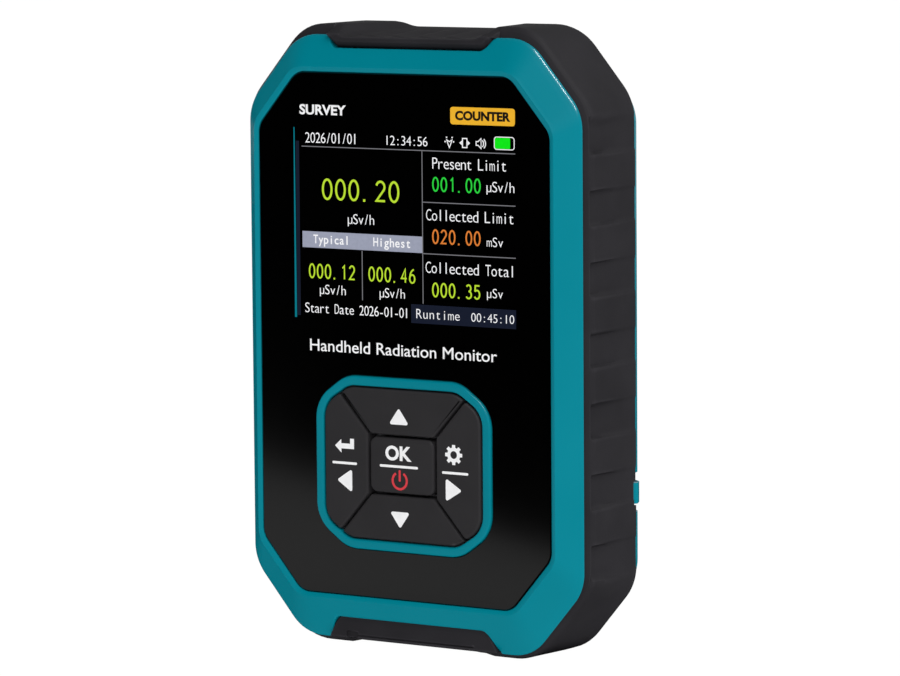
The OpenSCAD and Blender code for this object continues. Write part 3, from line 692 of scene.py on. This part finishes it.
def bumper_column(i, loops):
    """One station's section, from the inside of its front lip to its rear lip."""
    inner, lip, outer, rear = (loop[i] for loop in loops)
    front_y = seam_y + GAP
    edge = edge_of(outer.y)
    x = outer.x
    in_end = abs(x) < END_HALF
    tongue_top = max(valley_depth(edge, x, tongue_y), 1.3)
    notch = notch_depth(edge, x) - GAP
    if in_end and notch > tongue_top + 0.05:
        cove = min(1.2 if edge is TOP else 0.12, 0.65 * (notch - tongue_top))
        section = ((notch, front_y), (notch, tongue_y + cove), (notch - cove * 0.35, tongue_y + cove * 0.5),
                   (notch - cove, tongue_y), (tongue_top + 0.12, tongue_y + 0.12),
                   (tongue_top, tongue_y + 0.5), (max(valley_depth(edge, x, -8.4), 0.8), -8.4),
                   (max(valley_depth(edge, x, SIDE_Y), 0.0), SIDE_Y))
        front = vectors((x, inner.y, front_y), *((x, edge.height(depth), y) for depth, y in section))
    else:
        steps = ((inner, 0.0), (inner.lerp(lip, 0.8), 0.0), (lip, 0.15), (lip.lerp(outer, 0.7), 1.0),
                 (lip.lerp(outer, 0.9), 1.45), (outer, 1.9))
        front = vectors(*((p.x, p.y, front_y + dy) for p, dy in steps))
    column = resample(front, FRONT_POINTS)
    side = outward(loops[2], i)
    low_swell = LOW_SWELL * 2.0 * abs(side.x * side.y) * (1.0 - smooth_step(18.0, 28.0, outer.y))
    for y in REAR_YS:
        p = outer.lerp(rear, smooth_step(-12.0, RIM_Y, y) * 1.15 - 0.15 if y < RIM_Y else 1.0)
        p -= side * 0.15 * smooth_step(RIM_Y, rear_seam_y, y)
        p += side * low_swell * smooth_step(-8.0, RIM_Y, y)
        p.y = max(p.y, 0.0)
        column.append(Vector((p.x, p.y, y)))
    shaped = []
    for k, (px, pz, y) in enumerate(column):
        q = Vector((px, pz))
        if abs(px) > GRIP_X and k > FRONT_POINTS // 3:
            q -= side * grip_depth(pz, y)
        elif in_end and k > FRONT_POINTS // 3 and y > -8.3:
            q.y = edge.height(smooth_max(edge.depth_of(pz), valley_depth(edge, x, y), 0.5))
        shaped.append((q.x, y, q.y))
    return shaped + [(inner.x, rear_seam_y, inner.y)]


def build_bumper():
    outlines = (inset(skirt_o, -0.05), inset(seam_o, 0.5), bumper_front_o, bumper_rear_o)
    loops = [ring(o, BUMPER_CUTS) for o in outlines]
    shape = Shape()
    shape.grid([bumper_column(i, loops) for i in range(len(loops[0]))], closed=True)
    obj = new_object("bumper_sleeve", shape)
    cutter = usb_cutter(6.3, 3.4, -1.0, 6.0)
    cutter.prism(rounded(rectangle(-12.8, 14.0, 1.8, 2.2), 0.18, 3), tongue_y - 1.0, tongue_y + 0.45)
    notch = rounded(rectangle(bumper_high.x - 1.2, bumper_high.x + 1.0, lug_z - 2.3, lug_z + 2.3), 0.3, 3)
    cutter.prism(notch, rear_seam_y - 1.0, rear_seam_y + 1.0)
    cut(obj, cutter)
    pocket = Shape()
    pocket.prism(rounded(rectangle(-15.4, -12.6, 1.4, 2.9), 0.6, 5), tongue_y - 1.2, tongue_y + 0.5)
    cut(obj, pocket)
    return place(obj, "bumper_rubber", replaced=["bumper"], sharp=44)


# ---- Rear shell ----

REAR_CUTS = (even(3), even(8)) * 4
EASE = 4.2  # depth of the rounded edge round the back
EASE_STEPS = 12
BOSS_R = 3.3
WELL_R = 2.5  # radius of a screw's well
BAR_HALF = 2.0  # half height of the lanyard bar
BAR_ROOM = 3.8  # half height of the recess round it
HEAD_Y = 9.0  # depth of the screws' heads


def build_rear_shell():
    skirt, cavity = ring(skirt_o, REAR_CUTS), ring(cavity_o, REAR_CUTS)
    outer, flat = ring(rear_o, REAR_CUTS), ring(inset(rear_o, 4.0), REAR_CUTS)
    start_y = rear_seam_y + GAP
    loops = [(skirt, gasket_y), (skirt, start_y), (mix(outer, flat, 0.06), start_y),
             (outer, start_y + 0.15)]
    loops += [(mix(outer, flat, 1 - cosine), back_y - EASE * (1 - sine))
              for sine, cosine in quarter(EASE_STEPS)]
    shape = Shape()
    shape.loops(loops)
    shape.fill(back_y, flat)
    shape.loops([(skirt, gasket_y), (cavity, gasket_y), (cavity, back_in_y)])
    shape.fill(back_in_y, cavity)
    obj = new_object("rear_cover", shape)
    cutter = Shape()
    for x, z in boss_places:
        cutter.prism(circle(x, z, WELL_R), HEAD_Y, back_y + 1.0)
    for k in range(-2, 3):
        slot = rectangle(speaker_x - 7.0, speaker_x + 7.0, speaker_z + k * 3 - 0.6, speaker_z + k * 3 + 0.6)
        cutter.prism(rounded(slot, 0.55, 6), back_in_y - 1.0, back_y + 1.0)
    channel = rectangle(tube_x - 4.0, tube_x + 4.0, 26.0, 94.0)
    cutter.prism(rounded(channel, 2.0), back_y - 0.5, back_y + 1.0)
    cutter.prism(rounded(rectangle(-8.0, 24.0, 50.0, 94.0), 2.0), back_y - 0.3, back_y + 1.0)
    cutter.prism(rectangle(35.8, 40.0, lug_z - BAR_ROOM, lug_z + BAR_ROOM), rear_seam_y, back_y + 1.0)
    cut(obj, cutter)
    inside = Shape()
    for x, z in boss_places:
        inside.tube(circle(x, z, BOSS_R), circle(x, z, 1.4), 1.0, HEAD_Y)
        inside.tube(circle(x, z, BOSS_R), circle(x, z, WELL_R), HEAD_Y, back_in_y + 0.05)
    join(obj, inside)
    join(obj, lanyard_bar())
    return place(obj, "teal_shell", replaced=["rear_shell"])


def lanyard_bar():
    """The bar that a lanyard's cord goes through, with its hole."""
    half = bumper_high.x
    loop = vectors(
        (35.5, rear_seam_y - 0.6), (half - 0.4, rear_seam_y - 0.6), (half, rear_seam_y - 0.2),
        (half, back_y - EASE), (half - 0.9, back_y - 2.2), (half - 2.4, back_y - 1.0), (35.5, back_y - 1.0))
    hole = circle(half - 1.8, back_y - 2.9, 1.0, 20)
    return upright(loop, lug_z - BAR_HALF, lug_z + BAR_HALF, [hole])


# ---- Lens and bezel ----


def build_lens():
    outer, eased = ring(panel_o), ring(inset(panel_o, 0.14))
    hole, eased_hole = ring(inset(bezel_o, -0.1)), ring(inset(bezel_o, -0.2))
    shape = Shape()
    shape.fill(panel_y, eased, [eased_hole])
    shape.fill(tape_y, outer, [hole])
    shape.loops([(eased, panel_y), (outer, panel_y + 0.14), (outer, tape_y)])
    shape.loops([(eased_hole, panel_y), (hole, panel_y + 0.1), (hole, tape_y)])
    obj = new_object("front_lens", shape)
    return place(obj, "lens_black", replaced=["lens_panel"], sharp=30)


def build_bezel():
    outer, well, under = (ring(o) for o in (bezel_o, well_o, inset(bezel_o, 1.0)))
    crown = [(0.24 * (1 - sine), bezel_y + 0.42 * (1 - cosine)) for sine, cosine in quarter(6)]
    profile = [(0.0, plate_y), *reversed(crown)]
    profile += [(1 - share, depth) for share, depth in crown] + [(1.0, bezel_y + 1.4)]
    loops = [(mix(outer, well, share), depth) for share, depth in profile]
    loops += [(under, bezel_y + 1.4), (under, plate_y), loops[0]]
    shape = Shape()
    shape.loops(loops)
    obj = new_object("keypad_ring", shape)
    return place(obj, "teal_shell", replaced=["keypad_bezel"], sharp=50)


# ---- Keys ----

KEY_TOP = key_front + 0.03
KEY_EASE = 0.5  # radius of the keys' front edges
KEY_FLANGE_Y = key_front + 1.75
KEY_BASE_Y = key_front + 2.8
STEM_END_Y = board_y - 2.7
KEY_GAP = 0.5
SLANT = 0.884  # run of the slanted gaps between keys for each unit of their rise
WEDGE_REACH = 14.0  # how far the wedges that bound the keys go out
SIDE_REACH = 12.9  # from the keypad's middle to the stems of the left and right keys
RISE_REACH = 10.3  # and of the upper and lower keys
ok_w, ok_h = ok_high.x - ok_low.x, ok_high.z - ok_low.z
clear_w, clear_h = ok_w / 2 + KEY_GAP, ok_h / 2 + KEY_GAP


def inside_wedge(polygon, wedge):
    """The part of a convex polygon inside another, without doubled points; both run anticlockwise."""
    for a, b in zip(wedge, wedge[1:] + wedge[:1]):
        kept = []
        for p, q in zip(polygon, polygon[1:] + polygon[:1]):
            sp, sq = (b - a).cross(p - a), (b - a).cross(q - a)
            if sp >= 0:
                kept.append(p)
            if sp * sq < 0:
                kept.append(p.lerp(q, sp / (sp - sq)))
        polygon = kept
    return [p for before, p, after in with_neighbours(polygon) if (p - before).length > 0.02]


def shrink(polygon, d):
    """A convex anticlockwise polygon moved inwards by d."""
    result = []
    for before, p, after in with_neighbours(polygon):
        left, right = (p - before).normalized().orthogonal(), (after - p).normalized().orthogonal()
        result.append(p + (left + right) * d / (1 + left.dot(right)))
    return result


def soften(polygon, radius):
    """Rounds only the corners that turn sharply."""
    result = []
    for a, p, c in with_neighbours(polygon):
        turn = (p - a).angle(c - p)
        if turn > math.radians(25):
            reach = min((p - a).length, (c - p).length) * 0.45
            result += fillet(a, p, c, min(radius, reach * math.tan((math.pi - turn) / 2)), 5)
        else:
            result.append(p)
    return result


def wedge_up():
    low = key_z + clear_h
    foot = clear_w - 0.5
    far = foot + SLANT * WEDGE_REACH
    high = low + 0.2 + WEDGE_REACH
    return vectors((-foot + 0.4, low), (foot - 0.4, low), (foot, low + 0.2), (far, high), (-far, high),
                   (-foot, low + 0.2))


def wedge_right():
    drop = KEY_GAP * math.hypot(1, SLANT) / SLANT
    top = clear_h - drop + 0.5 / SLANT + 0.2
    far = clear_w + SLANT * WEDGE_REACH
    return vectors((clear_w, key_z - top), (far, key_z - top - WEDGE_REACH),
                   (far, key_z + top + WEDGE_REACH), (clear_w, key_z + top))


def flipped(polygon, sx, sz):
    """The polygon mirrored about the keypad's middle, still anticlockwise."""
    points = [Vector((p.x * sx, key_z + (p.y - key_z) * sz)) for p in polygon]
    return points if sx * sz > 0 else points[::-1]


def key_cap(shape, outline):
    """A cap with a rounded front edge and a flat top."""
    eased = [(shrink(outline, KEY_EASE * (1 - cosine)), KEY_TOP + KEY_EASE * (1 - sine))
             for sine, cosine in quarter(6)]
    shape.loops([(outline, KEY_FLANGE_Y), *eased])
    shape.fill(KEY_TOP, shrink(outline, KEY_EASE))
    shape.fill(KEY_FLANGE_Y, outline)


def build_key(name, wedge, x, z):
    shape = Shape()
    if wedge is None:
        cap = rounded(rectangle(ok_low.x, ok_high.x, ok_low.z, ok_high.z), 1.6)
        flange = cap
    else:
        cap = soften(inside_wedge(ring(inset(well_o, 0.3)), wedge), 0.7)
        flange = inside_wedge(ring(inset(bezel_o, 1.3)), wedge)
    key_cap(shape, cap)
    shape.prism(flange, KEY_FLANGE_Y, KEY_BASE_Y)
    shape.prism(circle(x, z, 1.5, 24), KEY_BASE_Y, STEM_END_Y)
    obj = new_object(name + "_cap", shape)
    return place(obj, "key_rubber", name + "_body", [name], 30)


KEYS = {
    "key_up": (wedge_up(), 0.0, key_z + RISE_REACH),
    "key_down": (flipped(wedge_up(), 1, -1), 0.0, key_z - RISE_REACH),
    "key_left": (flipped(wedge_right(), -1, 1), -SIDE_REACH, key_z),
    "key_right": (wedge_right(), SIDE_REACH, key_z),
    "key_ok": (None, 0.0, key_z),
}


# ---- Flat graphics ----

PRINT_T = 0.03  # thickness of printed and lit graphics
THIN = -0.010  # how much the display's letters are thinned
BAND_WEIGHT = 0.012  # how much those on the grey band are thickened


def letters(words, weight):
    """Points and faces of words in the plain built-in font; weight thickens or thins their strokes."""
    curve = bpy.data.curves.new("words", "FONT")
    curve.body = words
    curve.offset = weight
    curve.resolution_u = 4
    curve.extrude = 0.1
    obj = link_object("words", curve)
    mesh = bpy.data.meshes.new_from_object(obj.evaluated_get(bpy.context.evaluated_depsgraph_get()))
    points = [v.co.copy() for v in mesh.vertices]
    faces = [list(face.vertices) for face in mesh.polygons]
    bpy.data.objects.remove(obj)
    bpy.data.meshes.remove(mesh)
    bpy.data.curves.remove(curve)
    return points, faces


def span(points):
    """The lowest and highest X and Y of some points."""
    return [Vector((pick(p.x for p in points), pick(p.y for p in points))) for pick in (min, max)]


class Ink(Shape):
    """Flat graphics of one colour, from depth back to PRINT_T in front of it."""

    def __init__(self, back):
        super().__init__()
        self.back = back

    def area(self, outline, holes=()):
        self.prism(outline, self.back - PRINT_T, self.back, holes)

    def bar(self, x0, x1, z0, z1, radius=0.0):
        outline = rectangle(x0, x1, z0, z1)
        self.area(rounded(outline, radius, 4) if radius else outline)

    def stroke(self, points, width, closed=False):
        """A line of constant width along points."""
        points = vectors(*points)
        n = len(points)
        left, right = [], []
        for i, p in enumerate(points):
            before = points[i - 1] if closed or i else p * 2 - points[1]
            after = points[(i + 1) % n] if closed or i < n - 1 else p * 2 - points[i - 1]
            u, v = (p - before).normalized(), (after - p).normalized()
            across = Vector((-(u.y + v.y), u.x + v.x))
            left.append(p + across.normalized() * width / max(across.length, 1.0))
            right.append(p * 2 - left[-1])
        self.tube(left, right, self.back - PRINT_T, self.back, closed)

    def text(self, words, x0, x1, z0, z1, weight=0.0):
        """Words that fill a box."""
        points, faces = letters(words, weight)
        low, high = span(points)
        scale = Vector(((x1 - x0) / (high.x - low.x), (z1 - z0) / (high.y - low.y)))
        self.stamp(points, faces, Vector((x0, z0)) - low * scale, scale)

    def typed(self, words, x0, x1, z0, z1, weight=THIN):
        """Words on one line, each letter in a cell of the same width."""
        glyphs = [letters(letter, weight) for letter in words]
        spans = [span(points) for points, faces in glyphs if points]
        low = min(a.y for a, b in spans)
        scale = (z1 - z0) / (max(b.y for a, b in spans) - low)
        pitch = (x1 - x0) / len(words)
        for k, (points, faces) in enumerate(glyphs):
            if not points:
                continue
            a, b = span(points)
            fit = Vector((min(scale, 0.88 * pitch / (b.x - a.x)), scale))
            middle = x0 + (k + 0.5) * pitch - (a.x + b.x) / 2 * fit.x
            self.stamp(points, faces, Vector((middle, z0 - low * scale)), fit)

    def stamp(self, points, faces, origin, scale):
        front = self.back - PRINT_T
        self.add([(origin.x + p.x * scale.x, front if p.z > 0 else self.back, origin.y + p.y * scale.y)
                  for p in points], faces)

    def finish(self, name, slot, body="case"):
        return place(new_object(name, self), slot, body, sharp=20)


def bend(a, b, c, steps=8):
    """A curve from a to c that leans towards b."""
    a, b, c = Vector(a), Vector(b), Vector(c)
    return [a.lerp(b, k / steps).lerp(b.lerp(c, k / steps), k / steps) for k in range(steps + 1)]


# Strokes of each digit in a box one unit wide and one unit high.
DIGITS = {
    "0": [arc(0.5, 0.5, 0.5, 0.5, 0, 360, 28)],
    "1": [[(0.25, 0.8), (0.6, 0.99), (0.6, 0.0)]],
    "2": [arc(0.5, 0.73, 0.46, 0.27, 165, -35) + vectors((0.03, 0.02), (1.0, 0.02))],
    "3": [arc(0.47, 0.76, 0.42, 0.24, 150, -90), arc(0.47, 0.27, 0.5, 0.27, 90, -150)],
    "4": [[(0.74, 0.0), (0.74, 0.99), (0.0, 0.3), (1.0, 0.3)]],
    "5": [[(0.94, 0.98), (0.16, 0.98), (0.1, 0.54)], arc(0.46, 0.32, 0.5, 0.32, 135, -150)],
    "6": [arc(0.5, 0.3, 0.48, 0.3, 0, 360, 22), bend((0.8, 0.99), (0.1, 0.85), (0.02, 0.32))],
    "8": [arc(0.5, 0.76, 0.4, 0.24, 0, 360, 20), arc(0.5, 0.27, 0.5, 0.27, 0, 360, 22)],
}


def reading(ink, words, x, z, pitch, height, weight):
    """A measured value in evenly spaced digits, its lower left corner at x, z."""
    width = pitch * 0.8
    for k, letter in enumerate(words):
        left = x + k * pitch
        if letter == ".":
            ink.bar(left + 0.1 * pitch, left + 0.1 * pitch + weight * 1.1, z, z + weight * 1.1)
            continue
        for path in DIGITS[letter]:
            points = [Vector((left + weight / 2 + p[0] * (width - weight),
                              z + weight / 2 + p[1] * (height - weight))) for p in path]
            ring_like = (points[0] - points[-1]).length < 1e-3
            ink.stroke(points[:-1] if ring_like else points, weight, ring_like)


# ---- The display's page ----

PAGE_LEFT, PAGE_RIGHT = -23.0, 25.6
PAGE_TOP, PAGE_LOW = 96.9, 67.8
DIVIDER_X = 4.65
RULE = 0.17  # thickness of the page's rules
THIRDS = (87.1, 77.3)
SECOND_DIVIDER_X = -9.25


def build_page():
    white, grey, rules, green, full, lime, orange, teal, navy = (Ink(panel_y) for _ in range(9))
    over = Ink(panel_y - PRINT_T)

    teal.area(vectors((-24.97, 63.8), (-24.5, 63.8), (-24.62, 100.6), (-24.85, 100.6)))
    navy.bar(-24.4, -23.6, 64.2, 98.0)
    navy.bar(2.0, PAGE_RIGHT, 64.0, 67.6)

    rules.bar(PAGE_LEFT, PAGE_RIGHT, PAGE_TOP, PAGE_TOP + RULE)
    rules.bar(DIVIDER_X, DIVIDER_X + RULE, PAGE_LOW, PAGE_TOP)
    rules.bar(SECOND_DIVIDER_X, SECOND_DIVIDER_X + RULE, PAGE_LOW, THIRDS[1])
    for z in THIRDS:
        rules.bar(DIVIDER_X + RULE, PAGE_RIGHT, z, z + RULE)
    grey.bar(PAGE_LEFT, DIVIDER_X, THIRDS[1] + RULE, 80.6)
    status_icons(white, full)

    for ink, words, x, z, pitch, height, weight in (
            (lime, "000.20", -18.35, 86.75, 3.08, 4.2, 0.44), (lime, "000.12", -21.6, 71.5, 1.86, 2.9, 0.3),
            (lime, "000.46", -7.75, 71.5, 1.86, 2.9, 0.3), (lime, "000.35", 6.8, 69.15, 1.88, 2.85, 0.31),
            (green, "001.00", 7.0, 89.25, 1.88, 2.85, 0.31), (orange, "020.00", 6.9, 79.3, 1.88, 2.85, 0.31)):
        reading(ink, words, x, z, pitch, height, weight)

    for words, *box in (
            ("2026/01/01", -22.2, -10.0, 97.7, 99.7), ("12:34:56", -3.8, 6.1, 97.8, 99.6),
            ("µSv/h", -12.5, -6.2, 81.9, 84.3), ("µSv/h", -19.2, -12.9, 68.1, 70.4),
            ("µSv/h", -5.3, 0.7, 68.1, 70.4), ("µSv/h", 19.1, 25.5, 89.15, 91.6),
            ("mSv", 19.1, 22.9, 79.3, 81.1), ("µSv", 19.0, 22.8, 69.2, 71.4),
            ("Present Limit", 7.0, 23.7, 93.6, 95.75), ("Collected Limit", 5.5, 25.3, 83.75, 85.9),
            ("Collected Total", 5.3, 25.5, 73.75, 75.9), ("Start Date 2026-01-01", -22.6, 1.5, 64.85, 66.75)):
        white.typed(words, *box)
    over.typed("Typical", -20.5, -12.0, 77.75, 80.0, BAND_WEIGHT)
    over.typed("Highest", -6.6, 2.1, 77.75, 80.0, BAND_WEIGHT)
    over.typed("Runtime", 3.1, 13.2, 64.95, 66.75)
    over.typed("00:45:10", 15.5, 25.3, 64.95, 66.6)

    for ink, name, slot in (
            (white, "screen_text", "screen_white"), (over, "screen_labels", "screen_white"),
            (grey, "screen_band", "screen_grey"), (rules, "screen_rules", "screen_rule"),
            (full, "screen_battery_fill", "screen_battery"), (green, "screen_green_values", "screen_green"),
            (lime, "screen_lime_values", "screen_lime"), (orange, "screen_orange_value", "screen_orange"),
            (teal, "screen_edge_light", "screen_teal"), (navy, "screen_backdrop", "screen_navy")):
        ink.finish(name, slot)


def status_icons(white, green):
    """Lamp, vibration, sound and battery signs at the page's upper right."""
    z = 98.7
    lamp = 10.95
    white.stroke([(lamp - 0.6, z + 0.5), (lamp - 0.3, z - 0.3), (lamp, z - 0.95), (lamp + 0.3, z - 0.3),
                  (lamp + 0.6, z + 0.5), (lamp, z + 0.15)], 0.2, True)
    for dx, dz in ((-0.95, 0.15), (-0.62, 0.95), (0.62, 0.95), (0.95, 0.15)):
        white.bar(lamp + dx - 0.13, lamp + dx + 0.13, z + dz - 0.13, z + dz + 0.13)
    shake = 14.4
    white.stroke([(shake - 0.5, z - 0.85), (shake + 0.5, z - 0.85), (shake + 0.5, z + 0.85),
                  (shake - 0.5, z + 0.85)], 0.2, True)
    for side in (-1, 1):
        foot = shake + side * 0.65
        tip = vectors((foot, z + 0.45), (foot, z - 0.45), (shake + side * 1.2, z))
        white.area(tip if side > 0 else tip[::-1])
    horn = 17.9
    white.stroke([(horn - 0.95, z - 0.35), (horn - 0.5, z - 0.35), (horn + 0.15, z - 0.95),
                  (horn + 0.15, z + 0.95), (horn - 0.5, z + 0.35), (horn - 0.95, z + 0.35)], 0.18, True)
    white.stroke(arc(horn + 0.1, z, 0.6, 0.75, -55, 55, 8), 0.2)
    white.stroke(arc(horn + 0.1, z, 1.05, 1.1, -50, 50, 8), 0.2)
    white.stroke(rounded(rectangle(21.0, 25.4, 97.72, 100.05), 0.5, 4), 0.16, True)
    green.bar(21.14, 24.5, 97.86, 99.91, 0.25)


def build_print():
    """The printed caption, name plate and badge on the lens."""
    white, orange = Ink(panel_y), Ink(panel_y)
    white.text("Handheld Radiation Monitor", -21.5, 21.3, 57.45, 59.75, 0.004)
    white.text("SURVEY", -23.4, -12.6, 103.1, 105.1, 0.03)
    orange.bar(11.2, 25.6, 102.15, 105.45, 0.55)
    black = Ink(panel_y - PRINT_T)
    black.text("COUNTER", 12.3, 24.6, 102.95, 104.75, 0.042)
    white.finish("lens_print", "legend_white")
    orange.finish("badge_plate", "badge_orange")
    black.finish("badge_letters", "badge_black")


# ---- Key legends ----


def triangle(x, z, half_w, half_h, turn):
    """A rounded triangle that points along turn, in degrees."""
    c, s = math.cos(math.radians(turn)), math.sin(math.radians(turn))
    tips = ((half_h, 0.0), (-half_h, half_w), (-half_h, -half_w))
    return rounded([Vector((x + u * c - v * s, z + u * s + v * c)) for u, v in tips], 0.32, 5)


def gear(x, z, outer, inner, teeth=8):
    """A gear's outline: each tooth narrows outwards."""
    points = []
    for k in range(teeth):
        for share, radius in ((-0.33, inner), (-0.22, outer), (0.22, outer), (0.33, inner)):
            angle = 360 * (k + share) / teeth + 90
            points += arc(x, z, radius, radius, angle, angle, 1)[:1]
    return points


def build_legends():
    bar_t = 0.48
    inks = {name: Ink(KEY_TOP) for name in KEYS}
    inks["key_up"].area(triangle(-0.55, 45.95, 2.3, 1.6, 90))
    inks["key_down"].area(triangle(-0.45, 25.9, 2.3, 1.6, -90))

    left = inks["key_left"]
    left.area(triangle(-13.2, 32.8, 2.3, 1.75, 180))
    left.bar(-16.0, -10.3, 36.15 - bar_t / 2, 36.15 + bar_t / 2, 0.2)
    left.area(vectors(
        (-15.35, 39.45), (-13.9, 38.15), (-13.9, 38.95), (-10.95, 38.95), (-10.95, 40.95), (-11.85, 40.95),
        (-11.85, 39.95), (-13.9, 39.95), (-13.9, 40.75)))

    right = inks["key_right"]
    right.area(triangle(11.9, 32.55, 2.25, 1.85, 0))
    right.bar(9.25, 15.15, 35.85 - bar_t / 2, 35.85 + bar_t / 2, 0.2)
    right.area(gear(11.9, 39.35, 1.95, 1.45), [circle(11.9, 39.35, 0.75, 24)])

    centre = inks["key_ok"]
    centre.text("OK", -3.7, 2.3, 37.35, 40.25, 0.035)
    centre.bar(-5.0, 3.75, 36.25 - bar_t / 2, 36.25 + bar_t / 2, 0.2)
    for name, ink in inks.items():
        ink.finish(name + "_legend", "legend_white", name + "_body")

    power = Ink(KEY_TOP)
    power.stroke(arc(-0.45, 33.55, 1.62, 1.62, 122, 418, 28), 0.46)
    power.bar(-0.68, -0.22, 33.4, 35.6, 0.15)
    power.finish("key_ok_power_sign", "legend_red", "key_ok_body")


# ---- Assembly ----

build_front_frame()
build_bumper()
build_rear_shell()
build_lens()
build_bezel()
for key_name, key_data in KEYS.items():
    build_key(key_name, *key_data)
build_page()
build_print()
build_legends()


# ---- Camera, floor and light ----

AZIMUTH = math.radians(33.0)
ELEVATION = math.radians(6.23)
ROLL = math.radians(-0.43)
DISTANCE = 0.8877
TARGET = Vector((10.76, panel_y, 61.57)) * MM


def direction(azimuth, elevation):
    """A unit vector from the object towards a viewer."""
    return Vector((math.sin(azimuth) * math.cos(elevation), -math.cos(azimuth) * math.cos(elevation),
                   math.sin(elevation)))


def aim(obj, position, target, roll=0.0):
    """Puts a camera or lamp at a position, looking at a target."""
    obj.location = position
    turn = (target - position).to_track_quat("-Z", "Y").to_matrix().to_4x4()
    spin = turn @ turn.__class__.Rotation(roll, 4, "Z")
    obj.rotation_euler = spin.to_euler()


def build_camera():
    data = bpy.data.cameras.new("camera")
    data.sensor_width = 36.0
    data.lens = 187.28
    data.clip_end = 50.0
    camera = link_object("camera", data)
    aim(camera, TARGET + direction(AZIMUTH, ELEVATION) * DISTANCE, TARGET, ROLL)
    bpy.context.scene.camera = camera


def stage_card(name, corners_m, glow, ray, albedo=0.0):
    """A flat glowing piece of the studio, not of the object, that only one kind of ray sees."""
    mesh = bpy.data.meshes.new(name)
    mesh.from_pydata(corners_m, [], [tuple(range(len(corners_m)))])
    card = link_object(name, mesh)
    material = bpy.data.materials.new(name)
    material.use_nodes = True
    inputs = material.node_tree.nodes["Principled BSDF"].inputs
    for socket, value in (("Base Color", opaque([albedo] * 3)), ("Roughness", 0.9), ("Emission Color", WHITE),
                          ("Specular IOR Level", 0.0), ("Emission Strength", glow)):
        inputs[socket].default_value = value
    mesh.materials.append(material)
    for kind in ("camera", "glossy", "diffuse", "transmission", "shadow"):
        setattr(card, "visible_" + kind, kind == ray)


SKY_ABOVE = 0.89
SKY_BELOW = 1.04
FLAG_AIM = (-0.55, -0.5, 0.67)  # where a dark flag takes light away, up on the left
FLAG_EDGE = (0.78, 0.9)  # cosines from FLAG_AIM at the flag's outer and inner edge


def build_world():
    """Soft light from all round, a little stronger from below, with a dark flag up on the left."""
    world = bpy.data.worlds.new("studio")
    bpy.context.scene.world = world
    world.use_nodes = True
    world.cycles_visibility.glossy = False
    tree = world.node_tree
    ray = tree.nodes.new("ShaderNodeTexCoord").outputs["Generated"]
    height = linked(tree, "ShaderNodeSeparateXYZ", Vector=ray).outputs["Z"]
    sky = remap(tree, height, -0.4, 0.4, SKY_BELOW, SKY_ABOVE)
    toward = linked(tree, "ShaderNodeVectorMath", Vector=ray)
    toward.operation = "DOT_PRODUCT"
    toward.inputs[1].default_value = FLAG_AIM
    inputs = tree.nodes["Background"].inputs
    inputs["Color"].default_value = WHITE
    feed(tree, inputs["Strength"], remap(tree, toward.outputs["Value"], *FLAG_EDGE, sky, 0.0))


def add_lamp(name, kind, position, target, energy, glossy):
    data = bpy.data.lights.new(name, kind)
    data.energy = energy
    lamp = link_object(name, data)
    aim(lamp, position, target)
    lamp.visible_glossy = glossy
    return lamp


def build_studio():
    bpy.context.scene.view_settings.view_transform = "Standard"
    build_world()
    reach = 20.0
    floor = [(-reach, -reach, 0.0), (reach, -reach, 0.0), (reach, reach, 0.0), (-reach, reach, 0.0)]
    stage_card("floor", floor, 1.0, "camera", 0.02)
    sheen = [(-0.34, -0.316, 0.001), (0.089, -0.05, 0.001), (-0.34, -0.05, 0.001)]
    stage_card("front_reflector", sheen, 0.34, "glossy")
    rear = [(-1.2, 0.9, 0.0), (1.2, 0.9, 0.0), (1.2, 0.9, 1.2), (-1.2, 0.9, 1.2)]
    stage_card("rear_reflector", rear, 0.6, "glossy")
    shade = [(x, y, -0.0005) for x, y in ((-0.03, -0.007), (0.03, -0.007), (0.03, 0.012), (-0.03, 0.012))]
    stage_card("contact_shade", shade, 0.0, "diffuse")

    centre = Vector((0.0, 0.0, 0.06))
    key = add_lamp("key", "SUN", direction(math.radians(60), math.radians(40)) * 2.0, centre, 1.05, False)
    key.data.angle = math.radians(50)
    edge = add_lamp("edge_light", "AREA", TARGET + Vector((0.557, 0.0, 0.831)) * 0.9,
                    TARGET + Vector((0.02, 0.0, 0.04)), 34.0, True)
    edge.visible_diffuse = False
    edge.data.shape = "RECTANGLE"
    edge.data.size = 0.10
    edge.data.size_y = 0.5


build_camera()
build_studio()
